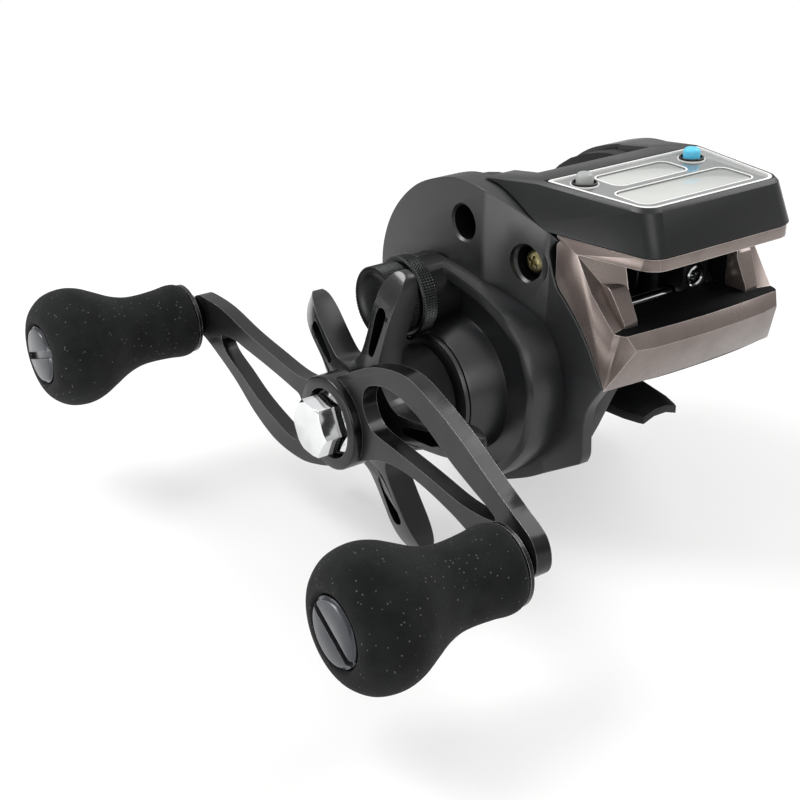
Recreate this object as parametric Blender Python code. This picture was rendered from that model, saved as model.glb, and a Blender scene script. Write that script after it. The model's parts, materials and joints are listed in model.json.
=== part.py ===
"""Low-profile baitcasting reel with a line-counter display, as separate solids.

World frame: +X is forward, the way the line leaves, +Y is the palm side, +Z is up.
The handle is on -Y. The origin is the middle of the foot's underside, at the crown of its arch.
Distances named ..._OUT are measured sideways from the centre plane of the reel, Y = 0.
"""

import math

import bmesh
import bpy
from mathutils import Matrix, Vector
from mathutils.geometry import intersect_line_line_2d

MM = 0.001

# Clearances shared by all pieces
GAP = 0.3 * MM
OVERRUN = 3.0 * MM
WELD = 0.001 * MM

# Gears
DRIVE_TEETH = 62
PINION_TEETH = 10
DRIVE_MODULE = 0.515 * MM
LEVEL_MODULE = 0.5 * MM
COG_TEETH = 34
IDLER_TEETH = 28
WORM_TEETH = 20
TIP_SHARE = 0.72
ROOT_SHARE = 1.05
TOOTH_TIP_SHARE = 0.2
TOOTH_ROOT_SHARE = 0.46

# Axes, seen from the side
DRIVE_X = 2.0 * MM
DRIVE_Z = 3.5 * MM
SPOOL_ANGLE = math.radians(115.9)
SPOOL_OFFSET = DRIVE_MODULE * (DRIVE_TEETH + PINION_TEETH) / 2
SPOOL_X = DRIVE_X + SPOOL_OFFSET * math.cos(SPOOL_ANGLE)
SPOOL_Z = DRIVE_Z + SPOOL_OFFSET * math.sin(SPOOL_ANGLE)
WORM_FORWARD = 22.6 * MM
WORM_RISE = 13.4 * MM
WORM_X = DRIVE_X + WORM_FORWARD
WORM_Z = DRIVE_Z + WORM_RISE
RAIL_RISE = 4.6 * MM

# Frame walls
WALL_IN_OUT = 13.6 * MM
WALL = 4.6 * MM
WALL_OUT = WALL_IN_OUT + WALL
WALL_INSET = 0.9 * MM
POCKET_DEPTH = 2.2 * MM
POCKET_ROOM = 0.7 * MM
DECK_LENGTH = 23.0 * MM
DECK_RISE = 3.2 * MM
DECK = 2.0 * MM
BRIDGE_LENGTH = 11.0 * MM
BRIDGE_RISE = 29.6 * MM
BRIDGE = 2.2 * MM

# Side covers: the outline is in shares of COVER_REACH, measured from the drive axis
COVER_REACH = 40.0 * MM
COVER_SEAT_OUT = WALL_OUT + GAP
COVER_FACE_OUT = 24.3 * MM
COVER_NOSE_OUT = 20.6 * MM
COVER_FOLD_SHARE = 0.1
COVER_NOSE_SHARE = 0.46
COVER_WALL = 1.7 * MM
COVER_ROUND = 1.9 * MM
FLAT_REAR = (-0.225, -0.45)
FLAT_REAR_SHARES = [(-0.225, -0.45), (0.225, -0.45)]
BELLY_SHARES = [(0.225, -0.45), (0.375, -0.385), (0.5, -0.31), (0.585, -0.258)]
TAB_SHARES = [(0.585, -0.258), (0.708, -0.182)]
THROAT_SHARES = [(0.708, -0.182), (0.728, -0.135), (0.727, -0.06), (0.73, 0.03), (0.752, 0.115),
                 (0.833, 0.235)]
FIN_SHARES = [(0.225, -0.45), (0.375, -0.365), (0.557, -0.222), (0.622, -0.14), (0.7, 0.015),
              (0.77, 0.158), (0.833, 0.235)]
PALM_BELLY_SHARES = [(-0.2, -0.325), (0.0, -0.3), (0.125, -0.2425), (0.35, -0.1075), (0.6, 0.055),
                     (0.775, 0.18), (0.833, 0.235)]
JOINT_SHARES = [(0.833, 0.235), (0.798, 0.285), (0.745, 0.372), (0.665, 0.472), (0.573, 0.557),
                (0.51, 0.608), (0.47, 0.698), (0.46, 0.765), (0.508, 0.82)]
CROWN_SHARES = [(0.508, 0.82), (0.375, 0.875), (0.233, 0.93), (0.1, 0.967), (-0.05, 0.975),
                (-0.2, 0.95), (-0.4, 0.868), (-0.563, 0.73), (-0.665, 0.563), (-0.7, 0.375),
                (-0.66, 0.112), (-0.55, -0.138)]
HANDLE_TAIL_SHARES = [(-0.4, -0.335), (-0.225, -0.45)]
PALM_TAIL_SHARES = [(-0.4, -0.2875), (-0.2, -0.325)]
PALM_CROWN_SHARES = [(0.508, 0.82), (0.375, 0.862), (0.233, 0.905), (0.1, 0.938), (-0.05, 0.945),
                     (-0.2, 0.925), (-0.4, 0.852), (-0.563, 0.725), (-0.665, 0.563),
                     (-0.7, 0.375), (-0.66, 0.112), (-0.55, -0.138)]

# Gear case on the handle side cover
CASE_FACE_OUT = 27.0 * MM
CASE_FLOOR_OUT = 25.0 * MM
CASE_FLOOR = 1.2 * MM
CASE_LIP = 2.1 * MM
CASE_DRAFT = 0.8 * MM
CASE_WALL = 1.5 * MM
CASE_SHARES = [(-0.49, 0.385), (-0.438, 0.49), (-0.325, 0.556), (-0.175, 0.566), (0.0, 0.55),
               (0.2, 0.51), (0.375, 0.44), (0.5, 0.34), (0.56, 0.208), (0.57, 0.062),
               (0.53, -0.115), (0.445, -0.24), (0.338, -0.345), (0.2, -0.42), (0.0, -0.438),
               (-0.2, -0.4), (-0.35, -0.263), (-0.463, -0.05), (-0.505, 0.175)]
BOSS_BASE_R = 13.6 * MM
BOSS_FRONT_R = 11.0 * MM
BOSS_FACE_OUT = 33.8 * MM
BOSS_BORE_R = 8.4 * MM
BOSS_EYE_R = 7.4 * MM
BOSS_RIM = 1.0 * MM

# Screws down the wells of the handle side cover
WELL_R = 3.2 * MM
WELL_WALL = 1.1 * MM
WELL_FLOOR = 1.3 * MM
WELL_SHARES = [(-0.035, 0.775), (0.345, 0.675)]
SCREW_HEAD_R = 2.2 * MM
SCREW_HEAD = 1.5 * MM
SCREW_SHANK_R = 1.2 * MM
SCREW_BITE = 2.4 * MM
CROSS_WIDTH = 0.6 * MM
CROSS_LENGTH = 2.8 * MM
CROSS_DEPTH = 0.7 * MM

# Palm side cover
PALM_FACE_OUT = 26.0 * MM
PALM_WALL = 1.5 * MM
PALM_ROUND = 2.2 * MM
PALM_NOSE_OUT = COVER_NOSE_OUT
DIAL_R = 10.0 * MM
DIAL = 2.6 * MM
DIAL_PROUD = 1.3 * MM
DIAL_STEM_R = 3.0 * MM
DIAL_RIBS = 24
DIAL_RIB = 0.5 * MM

# Front cover, in shares of COVER_REACH from the drive axis, with the half widths of its corners
FRONT_WALL = 1.6 * MM
VISOR_TOP_SHARE = 0.8425
VISOR_FLOOR_SHARE = 0.79
VISOR_NOSE_SHARE = 1.0
VISOR_NOSE_OUT = 17.2 * MM
VISOR_ROOT_SHARE = 0.5
VISOR_ROOT_OUT = 20.4 * MM
SILL_CORNER_SHARES = (0.902, 0.492)
SILL_CORNER_OUT = 18.2 * MM
FOLD_CORNER_SHARES = (0.94, 0.425)
FOLD_CORNER_OUT = 17.3 * MM
CHIN_CORNER_SHARES = (0.838, 0.225)
CHIN_CORNER_OUT = 20.5 * MM
CHEEK_TOP_SHARES = (0.5, 0.8425)
CHEEK_TOP_OUT = 20.4 * MM
POST_TOP_SHARE = 0.74
POST_FOOT_SHARE = 0.81
CHEEK_EDGE_TOP_SHARE = 0.632
CHEEK_EDGE_TOP_OUT = 20.4 * MM
# How far the front bows out between its two cheeks, and the places across it where that is taken
FRONT_BOW = 1.0 * MM
BOW_STATION_SHARES = (-1.2, -0.75, -0.4, 0.0, 0.4, 0.75, 1.2)
WINDOW_OUT = 13.3 * MM
SILL = 1.5 * MM

# Reel foot
FOOT_LENGTH = 58.8 * MM
FOOT_MIDDLE_OUT = 7.2 * MM
FOOT_TIP_OUT = 5.0 * MM
FOOT_MIDDLE = 2.2 * MM
FOOT_TIP = 1.5 * MM
FOOT_ARCH = 0.9 * MM
FOOT_FLAT_SHARE = 0.36
FOOT_STATION_SHARES = [(-1.0, 0.5), (-0.96, 0.8), (-0.86, 1.0), (-0.4, 1.0), (0.0, 1.0), (0.4, 1.0),
                 (0.86, 1.0), (0.96, 0.9), (1.0, 0.82)]
FOOT_TAPER_SHARE = 0.36
PAD_LENGTH = 30.0 * MM
PAD_OUT = 6.0 * MM
PAD = 3.0 * MM
RIVET_R = 1.5 * MM
RIVET_SPREAD = 10.0 * MM

# Spool and what turns with it
SPOOL_R = 16.0 * MM
SPOOL_OUT = 12.5 * MM
SPOOL_LIP = 1.1 * MM
SPOOL_DRUM_R = 9.4 * MM
SPOOL_HUB_R = 4.2 * MM
SPOOL_WEB = 1.3 * MM
SPOOL_SHAFT_R = 1.5 * MM
SPOOL_SHAFT_PALM_OUT = 22.6 * MM
CRADLE_ROOM = 0.6 * MM
CRADLE = 1.1 * MM
CRADLE_REAR = math.radians(190)
CRADLE_FRONT = math.radians(322)
PINION_FACE = 2.5 * MM
BRAKE_ROTOR_R = 6.6 * MM
BRAKE_ROTOR = 1.4 * MM
BRAKE_BLOCK = 1.6 * MM
BRAKE_BLOCKS = 6
BRAKE_DRUM_R = 9.4 * MM
BRAKE_DRUM = 1.2 * MM
BRAKE_DRUM_LENGTH = 2.6 * MM
MAGNET_R = 1.3 * MM
MAGNET = 1.0 * MM
SENSOR = 3.0 * MM

# Ball bearings
BEARING = 2.0 * MM
SPOOL_BEARING_R = 4.0 * MM
SHAFT_BEARING_R = 5.0 * MM
CLUTCH_BEARING_R = 8.0 * MM
CLUTCH_BEARING = 6.0 * MM
SLEEVE_R = 4.4 * MM

# Drive shaft and gears
SHAFT_R = 3.0 * MM
GEAR_OUTER_OUT = 23.4 * MM
GEAR_FACE = 2.5 * MM
WASHER_R = 10.6 * MM
WASHER = 0.5 * MM
WASHER_RECESS = 1.6 * MM
COG_FACE = 1.4 * MM
COG_HUB_R = 4.6 * MM
IDLER_PIN_R = 1.4 * MM
IDLER_HEAD_R = 2.4 * MM

# Handle arm, in shares of HANDLE_THROW, measured from the drive axis
HANDLE_THROW = 52.0 * MM
HANDLE_FACE_OUT = 54.0 * MM
HANDLE_ARM = 3.0 * MM
HANDLE_TILT = math.radians(-3.95)
HANDLE_EDGE = 0.35 * MM
ARM_TOP_SHARES = [(-1.06, 0.085), (-1.0, 0.15), (-0.93, 0.165), (-0.78, 0.16), (-0.6, 0.125),
                  (-0.42, 0.102), (-0.24, 0.085), (-0.1, 0.11), (0.03, 0.18), (0.18, 0.262),
                  (0.3, 0.306), (0.44, 0.32), (0.58, 0.275), (0.7, 0.222), (0.83, 0.15),
                  (0.96, 0.08), (1.06, 0.022)]
ARM_FOOT_SHARES = [(1.085, -0.06), (1.045, -0.115), (0.96, -0.128), (0.8, -0.1), (0.66, -0.06),
                   (0.5, -0.03), (0.36, -0.026), (0.25, -0.05), (0.14, -0.1), (0.0, -0.175),
                   (-0.12, -0.222), (-0.25, -0.252), (-0.42, -0.245), (-0.57, -0.19),
                   (-0.72, -0.1), (-0.9, -0.02), (-1.02, 0.02)]
REAR_WINDOW_SHARES = [(-0.8, 0.05), (-0.703, 0.065), (-0.617, 0.057), (-0.452, 0.042),
                      (-0.293, 0.022), (-0.232, 0.006), (-0.212, -0.06), (-0.225, -0.14),
                      (-0.285, -0.188), (-0.421, -0.16), (-0.551, -0.118), (-0.665, -0.063),
                      (-0.775, -0.01)]
FRONT_WINDOW_SHARES = [(0.196, 0.198), (0.276, 0.234), (0.354, 0.241), (0.455, 0.22),
                       (0.552, 0.179), (0.659, 0.12), (0.775, 0.071), (0.877, 0.03), (0.868, 0.005),
                       (0.719, -0.006), (0.539, 0.016), (0.35, 0.036), (0.222, 0.055),
                       (0.172, 0.13)]
HUB_R = 8.8 * MM
HUB_RAISE = 1.8 * MM
HUB_CHAMFER = 0.4 * MM
HUB_RECESS_R = 7.4 * MM
HUB_RECESS = 2.6 * MM
HUB_SLEEVE_R = 6.0 * MM
HUB_SLEEVE = 1.6 * MM
NUT_FLATS_R = 4.6 * MM
NUT_FLANGE_R = 5.6 * MM
NUT_FLANGE = 1.4 * MM
NUT_HEIGHT = 5.7 * MM
NUT_FACE_OUT = HANDLE_FACE_OUT + NUT_HEIGHT
NUT_CHAMFER = 0.9 * MM
RETAINER_R = 6.9 * MM
RETAINER = 0.6 * MM

# Knobs: the turned outline is in shares of KNOB_LENGTH along and KNOB_R across
KNOB_R = 11.45 * MM
KNOB_LENGTH = 30.6 * MM
KNOB_START = 3.4 * MM
KNOB_SHARES = [(0.0, 0.6), (0.02, 0.635), (0.07, 0.645), (0.15, 0.618), (0.28, 0.6), (0.38, 0.62),
               (0.48, 0.7), (0.58, 0.83), (0.67, 0.945), (0.75, 1.0), (0.83, 0.995), (0.9, 0.94),
               (0.96, 0.82), (0.99, 0.7), (1.0, 0.58)]
KNOB_CAP_R = 5.6 * MM
KNOB_CAP = 3.4 * MM
KNOB_CAP_DOME = 0.5 * MM
SLOT_WIDTH = 1.4 * MM
SLOT_TURNS = {"rear": math.radians(20), "front": math.radians(-33)}
SLOT_DEPTH = 0.9 * MM
COLLAR_R = 6.2 * MM
COLLAR_NECK_R = 4.4 * MM
SPINDLE_R = 2.0 * MM
SPINDLE_HEAD_R = 3.4 * MM
SPINDLE_HEAD = 0.6 * MM

# Star drag
STAR_ARMS = 5
STAR_TURN = math.radians(5.7)
STAR_R = 28.6 * MM
STAR_INNER_OUT = 43.2 * MM
STAR_OUTER_OUT = 48.3 * MM
STAR_LEAN_SHARE = 0.15
STAR_HUB_R = 10.2 * MM
STAR_COLLAR_R = 9.6 * MM
STAR_ARM_SHARES = [(0.2, 0.13), (0.34, 0.112), (0.42, 0.09), (0.6, 0.084), (0.8, 0.083),
                   (0.9, 0.078), (0.96, 0.06), (0.995, 0.025)]
STAR_TIP_CUT_SHARES = [(0.86, 0.0, 1.1), (0.965, 0.35, 0.35)]
STAR_RIM = 1.3 * MM

# Cast control cap
CAP_FACE_OUT = 39.3 * MM
CAP_R = 6.9 * MM
CAP_STEP_OUT = 34.3 * MM
CAP_SEAT_OUT = 30.2 * MM
CAP_RING_R = 7.7 * MM
CAP_BOSS_R = 6.4 * MM
CAP_DISH = 0.8 * MM
CAP_END_WALL = 1.9 * MM
SPOOL_SHAFT_HANDLE_OUT = CAP_FACE_OUT - CAP_DISH - CAP_END_WALL
CAP_WALL = 1.6 * MM
CAP_RIBS = 36
CAP_RIB = 0.22 * MM

# Level wind
RAIL_R = 1.25 * MM
WORM_R = 2.2 * MM
WORM_GROOVE = 0.45 * MM
WORM_GROOVES = 5
GUIDE_REST = 8.5 * MM
GUIDE_OUT = 3.1 * MM
GUIDE_DEPTH = 6.4 * MM
GUIDE_BELOW = 3.6 * MM
GUIDE_ABOVE = 6.2 * MM
EYE_R = 2.0 * MM
EYE_WALL = 0.7 * MM
EYE_RISE = 3.4 * MM
RUN_ROOM = 0.4 * MM

# Thumb bar
THUMB_OUT = 13.1 * MM
THUMB_R_SHARE = 1.0875
THUMB_REAR = math.radians(174)
THUMB_FRONT = math.radians(152)
THUMB = 2.2 * MM
THUMB_LIP = 1.2 * MM
THUMB_LIP_SPAN = math.radians(5)

# Display
DISPLAY_TOP = 1.04 * COVER_REACH
DISPLAY_FLOOR = 0.85 * COVER_REACH
DISPLAY_FRONT = 0.9375 * COVER_REACH
DISPLAY_FRONT_OUT = 16.8 * MM
DISPLAY_REAR = 0.3275 * COVER_REACH
DISPLAY_REAR_OUT = 19.4 * MM
DISPLAY_ROUND = 3.6 * MM
DISPLAY_FOOT_FRONT = 1.005 * COVER_REACH
DISPLAY_FOOT_FRONT_OUT = 17.5 * MM
DISPLAY_FOOT_REAR_OUT = 22.3 * MM
SHOULDER_BACK = 0.375 * COVER_REACH
SHOULDER_DROP = 2.6 * MM
SHOULDER_OUT = 21.0 * MM
THUMB_BAY = 6.5 * MM
DISPLAY_WALL = 1.3 * MM
DISPLAY_EDGE = 0.7 * MM
PANEL_INSET = 1.0 * MM
RIM_WIDTH = 0.7 * MM
PANEL = 1.5 * MM
ROOF = 1.9 * MM
DEPTH_LCD_SIZE = (7.9 * MM, 26.0 * MM)
DEPTH_LCD_AT = (29.8 * MM, -0.4 * MM)
MODE_LCD_SIZE = (6.6 * MM, 16.8 * MM)
MODE_LCD_AT = (20.2 * MM, -1.5 * MM)
LCD = 0.6 * MM
LCD_CORNER = 1.8 * MM
CUT_SHARE = 0.3
LCD_SET = 0.2 * MM
BUTTON_X = 19.1 * MM
BUTTON_PLACES = {"grey_button": -13.8 * MM, "blue_button": 11.9 * MM}
BUTTON_R = 1.55 * MM
BUTTON_RING_R = 2.3 * MM
BUTTON_RING_WALL = 0.35 * MM
BUTTON_RING_PROUD = 0.25 * MM
BUTTON_PROUD = 1.9 * MM
BUTTON_STEM = 1.4 * MM
BUTTON_DOME = 0.5 * MM
BOARD = 0.8 * MM
BASE = 1.0 * MM
CELL_R = 6.0 * MM
CELL = 1.2 * MM

# How finely round pieces are cut
ROUND_STEPS = 24
SMALL_STEPS = 12
SPAN_STEPS = 2
CORNER_STEPS = 4
LOOP_SPAN_MOST = 4


def share_point(share):
    """Point of the side view, from shares of COVER_REACH measured from the drive axis."""
    return (DRIVE_X + share[0] * COVER_REACH, DRIVE_Z + share[1] * COVER_REACH)


def arm_point(share):
    """Point of the handle arm, from shares of HANDLE_THROW measured from the drive axis."""
    return (DRIVE_X + share[0] * HANDLE_THROW, DRIVE_Z + share[1] * HANDLE_THROW)


def curve_through(points, steps=SPAN_STEPS, closed=False):
    """Points of a smooth curve that passes through all the given points."""
    count = len(points)
    spans = count if closed else count - 1
    result = []
    for i in range(spans):
        if closed:
            p = [points[(i + k) % count] for k in (-1, 0, 1, 2)]
        else:
            p = [points[min(max(i + k, 0), count - 1)] for k in (-1, 0, 1, 2)]
        for step in range(steps):
            t = step / steps
            result.append(tuple(
                (2 * p[1][a] + (p[2][a] - p[0][a]) * t
                 + (2 * p[0][a] - 5 * p[1][a] + 4 * p[2][a] - p[3][a]) * t * t
                 + (3 * p[1][a] - p[0][a] - 3 * p[2][a] + p[3][a]) * t * t * t) / 2
                for a in (0, 1)))
    if not closed:
        result.append(tuple(points[-1]))
    return result


def side_outline(under, crown):
    """Closed side outline: the runs of its underside, then the joint all share, then its crown."""
    runs = under + [JOINT_SHARES, crown]
    outline = []
    for run in runs:
        steps = 1 if len(run) == 2 else SPAN_STEPS
        outline += curve_through([share_point(s) for s in run], steps)[:-1]
    return outline


def handle_side_outline():
    return side_outline([FLAT_REAR_SHARES, BELLY_SHARES, TAB_SHARES, THROAT_SHARES],
                        CROWN_SHARES + HANDLE_TAIL_SHARES)


def fin_outline():
    """The frame wall on the handle side, which stops short of the cover's tab."""
    return side_outline([FLAT_REAR_SHARES, FIN_SHARES], CROWN_SHARES + HANDLE_TAIL_SHARES)


def palm_side_outline():
    return side_outline([PALM_BELLY_SHARES], PALM_CROWN_SHARES + PALM_TAIL_SHARES)


def cut_side_plates(target):
    """Takes the room of the frame and both side covers, with a gap, out of a piece over them."""
    cut(target, prism(offset_outline(handle_side_outline(), GAP), -CASE_FACE_OUT, 0))
    cut(target, prism(offset_outline(palm_side_outline(), GAP), -GAP, CASE_FACE_OUT))


def without_loops(points):
    """The closed outline with the small loops cut off that an inset leaves at tight corners."""
    i = 0
    while i < len(points):
        count = len(points)
        for skip in range(2, LOOP_SPAN_MOST + 1):
            span = [points[(i + k) % count] for k in (0, 1, skip, skip + 1)]
            crossing = intersect_line_line_2d(*span)
            if crossing is not None:
                kept = [points[(i + skip + 1 + k) % count] for k in range(count - skip)]
                points = [crossing] + kept
                i = -1
                break
        i += 1
    return points


def offset_outline(outline, distance):
    """The closed outline moved outwards by distance, or inwards where it is negative."""
    count = len(outline)
    area = sum(outline[i - 1][0] * outline[i][1] - outline[i][0] * outline[i - 1][1]
               for i in range(count))
    turn = 1 if area > 0 else -1
    moved = []
    for i in range(count):
        here = Vector(outline[i])
        before = (here - Vector(outline[i - 1])).normalized()
        after = (Vector(outline[(i + 1) % count]) - here).normalized()
        normals = [Vector((d.y, -d.x)) * turn for d in (before, after)]
        middle = (normals[0] + normals[1]).normalized()
        reach = distance / max(middle.dot(normals[0]), 0.5)
        moved.append(here + middle * reach)
    return [tuple(p) for p in without_loops(moved)]


def circle(x, z, radius, steps=ROUND_STEPS, start=None):
    """Points of a circle, the first one half a step round unless a start angle is given."""
    first = math.pi / steps if start is None else start
    return [(x + radius * math.cos(first + 2 * math.pi * i / steps),
             z + radius * math.sin(first + 2 * math.pi * i / steps)) for i in range(steps)]


def ring_sector(x, z, inner, outer, start, end, steps=ROUND_STEPS):
    angles = [start + (end - start) * i / steps for i in range(steps + 1)]
    return ([(x + outer * math.cos(a), z + outer * math.sin(a)) for a in angles]
            + [(x + inner * math.cos(a), z + inner * math.sin(a)) for a in reversed(angles)])


def box_outline(x0, x1, z0, z1):
    return [(x0, z0), (x1, z0), (x1, z1), (x0, z1)]


def gear_outline(x, z, module, teeth, phase):
    """Spur gear with straight-sided stub teeth, the first tooth centred at angle phase."""
    pitch_r = module * teeth / 2
    tip, root = pitch_r + TIP_SHARE * module, pitch_r - ROOT_SHARE * module
    outline = []
    for i in range(teeth):
        middle = phase + 2 * math.pi * i / teeth
        for share, radius in ((-TOOTH_ROOT_SHARE, root), (-TOOTH_TIP_SHARE, tip),
                              (TOOTH_TIP_SHARE, tip), (TOOTH_ROOT_SHARE, root)):
            a = middle + share * math.pi / teeth
            outline.append((x + radius * math.cos(a), z + radius * math.sin(a)))
    return outline


def meshing_phase(phase, teeth, next_teeth, direction):
    """Phase of a gear that meshes with one of a known phase and lies in a direction from it."""
    return direction + math.pi - teeth / next_teeth * (phase - direction) - math.pi / next_teeth


def two_circle_point(x0, z0, r0, x1, z1, r1):
    """The lower one of the two points at r0 from the first place and r1 from the second."""
    dx, dz = x1 - x0, z1 - z0
    d = math.hypot(dx, dz)
    along = (r0 * r0 - r1 * r1 + d * d) / (2 * d)
    aside = math.sqrt(max(r0 * r0 - along * along, 0))
    return (x0 + (along * dx + aside * dz) / d, z0 + (along * dz - aside * dx) / d)


COG_R = LEVEL_MODULE * COG_TEETH / 2
IDLER_R = LEVEL_MODULE * IDLER_TEETH / 2
WORM_GEAR_R = LEVEL_MODULE * WORM_TEETH / 2
IDLER_X, IDLER_Z = two_circle_point(DRIVE_X, DRIVE_Z, COG_R + IDLER_R,
                                    WORM_X, WORM_Z, IDLER_R + WORM_GEAR_R)
RAIL_X = WORM_X - GAP
RAIL_Z = WORM_Z + RAIL_RISE
EYE_Z = RAIL_Z + EYE_RISE
FLOOR_Z = DRIVE_Z + FLAT_REAR[1] * COVER_REACH
POCKET_FLOOR_OUT = WALL_OUT - POCKET_DEPTH
KNOB_PLACES = {"rear": -1, "front": 1}


def knob_axis(side):
    reach = side * HANDLE_THROW
    return (DRIVE_X + reach * math.cos(HANDLE_TILT), DRIVE_Z + reach * math.sin(HANDLE_TILT))


def empty_scene():
    for thing in list(bpy.data.objects):
        bpy.data.objects.remove(thing, do_unlink=True)


def material(name, colour, roughness, metallic=0.0, coat=0.0):
    made = bpy.data.materials.new(name)
    made.use_nodes = True
    shader = made.node_tree.nodes["Principled BSDF"]
    shader.inputs["Base Color"].default_value = (*colour, 1.0)
    shader.inputs["Roughness"].default_value = roughness
    shader.inputs["Metallic"].default_value = metallic
    shader.inputs["Coat Weight"].default_value = coat
    return made


def axis_empty(name, x, y, z):
    pivot = bpy.data.objects.new(name, None)
    pivot.location = (x, y, z)
    bpy.context.scene.collection.objects.link(pivot)
    return pivot


def place(name, bm, look=None, pivot=None):
    """Turns a mesh built in world places into an object whose origin is its pivot."""
    bmesh.ops.remove_doubles(bm, verts=bm.verts, dist=WELD)
    bmesh.ops.recalc_face_normals(bm, faces=bm.faces)
    mesh = bpy.data.meshes.new(name)
    if pivot is not None:
        bmesh.ops.translate(bm, verts=bm.verts, vec=-pivot.location)
    bm.to_mesh(mesh)
    bm.free()
    made = bpy.data.objects.new(name, mesh)
    bpy.context.scene.collection.objects.link(made)
    if pivot is not None:
        made.parent = pivot
    if look is not None:
        mesh.materials.append(look)
        mesh.shade_smooth()
        mesh.set_sharp_from_angle(angle=math.radians(32))
    else:
        made.hide_render = True
        made.display_type = "WIRE"
    return made


def prism(outline, y0, y1):
    """Solid with the side outline, between two distances along Y."""
    bm = bmesh.new()
    face = bm.faces.new([bm.verts.new((x, y0, z)) for x, z in outline])
    grown = bmesh.ops.extrude_face_region(bm, geom=[face])
    top = [v for v in grown["geom"] if isinstance(v, bmesh.types.BMVert)]
    bmesh.ops.translate(bm, verts=top, vec=(0, y1 - y0, 0))
    bmesh.ops.recalc_face_normals(bm, faces=bm.faces)
    return bm


def slab(outline, z0, z1):
    """Solid with the plan outline, between two heights."""
    bm = bmesh.new()
    face = bm.faces.new([bm.verts.new((x, y, z0)) for x, y in outline])
    grown = bmesh.ops.extrude_face_region(bm, geom=[face])
    top = [v for v in grown["geom"] if isinstance(v, bmesh.types.BMVert)]
    bmesh.ops.translate(bm, verts=top, vec=(0, 0, z1 - z0))
    bmesh.ops.recalc_face_normals(bm, faces=bm.faces)
    return bm


def turned(profile, centre, axis, steps=ROUND_STEPS, closed=False):
    """Solid turned from (along, radius) points round an axis through centre."""
    along = Vector(axis).normalized()
    side = Vector((0, 0, 1)) if abs(along.z) < 0.5 else Vector((1, 0, 0))
    centre = Vector(centre)
    bm = bmesh.new()
    verts = [bm.verts.new(centre + along * a + side * r) for a, r in profile]
    edges = [bm.edges.new(pair) for pair in zip(verts, verts[1:])]
    if closed:
        edges.append(bm.edges.new((verts[-1], verts[0])))
    bmesh.ops.spin(bm, geom=verts + edges, cent=centre, axis=along, dvec=(0, 0, 0),
                   angle=2 * math.pi, steps=steps, use_merge=True, use_duplicate=False)
    bmesh.ops.remove_doubles(bm, verts=bm.verts, dist=WELD)
    bmesh.ops.recalc_face_normals(bm, faces=bm.faces)
    return bm


def ring(x, z, y0, y1, inner, outer, steps=ROUND_STEPS):
    return turned([(y0, inner), (y0, outer), (y1, outer), (y1, inner)], (x, 0, z), (0, 1, 0),
                  steps, closed=True)


def rod(x, z, y0, y1, radius, steps=SMALL_STEPS):
    return prism(circle(x, z, radius, steps), y0, y1)


def peg(x, y, z0, z1, radius, steps=SMALL_STEPS):
    return slab(circle(x, y, radius, steps), z0, z1)


def hull(points):
    bm = bmesh.new()
    verts = [bm.verts.new(p) for p in points]
    made = bmesh.ops.convex_hull(bm, input=verts)
    spare = {v for v in made["geom_interior"] + made["geom_unused"]
             if isinstance(v, bmesh.types.BMVert)}
    bmesh.ops.delete(bm, geom=list(spare), context="VERTS")
    bmesh.ops.dissolve_limit(bm, angle_limit=math.radians(1), verts=bm.verts, edges=bm.edges)
    return bm


def both_sides(points):
    return [(x, side * y, z) for x, y, z in points for side in (-1, 1)]


def combine(target, operation, bm, name="cutter"):
    tool = place(f"{name}_{target.name}_{len(target.modifiers)}", bm)
    step = target.modifiers.new(operation.lower(), "BOOLEAN")
    step.operation = operation
    step.object = tool


def cut(target, bm):
    combine(target, "DIFFERENCE", bm)


def add(target, bm):
    combine(target, "UNION", bm, "adder")


def round_edges(bm, edges, width, segments=2):
    bmesh.ops.bevel(bm, geom=edges, offset=width, segments=segments, profile=0.5,
                    affect="EDGES", clamp_overlap=True)


def rim_edges(bm, y):
    """Edges of the flat end at distance y of a prism."""
    return [e for e in bm.edges if all(abs(v.co.y - y) < WELD for v in e.verts)]


def taper_nose(bm, side, face_out, nose_out):
    """Draws the outer face in towards the nose of the reel, in two flat bends."""
    fold = DRIVE_X + COVER_FOLD_SHARE * COVER_REACH
    nose = DRIVE_X + COVER_NOSE_SHARE * COVER_REACH
    for x in (fold, nose):
        bmesh.ops.bisect_plane(bm, geom=bm.verts[:] + bm.edges[:] + bm.faces[:], dist=WELD,
                               plane_co=(x, 0, 0), plane_no=(1, 0, 0))
    for v in bm.verts:
        if side * v.co.y > COVER_SEAT_OUT + GAP:
            share = min(max((v.co.x - fold) / (nose - fold), 0), 1)
            v.co.y -= side * share * (face_out - nose_out)


def cover_face_out(x, face_out=COVER_FACE_OUT, nose_out=COVER_NOSE_OUT):
    fold = DRIVE_X + COVER_FOLD_SHARE * COVER_REACH
    nose = DRIVE_X + COVER_NOSE_SHARE * COVER_REACH
    share = min(max((x - fold) / (nose - fold), 0), 1)
    return face_out - share * (face_out - nose_out)


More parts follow.
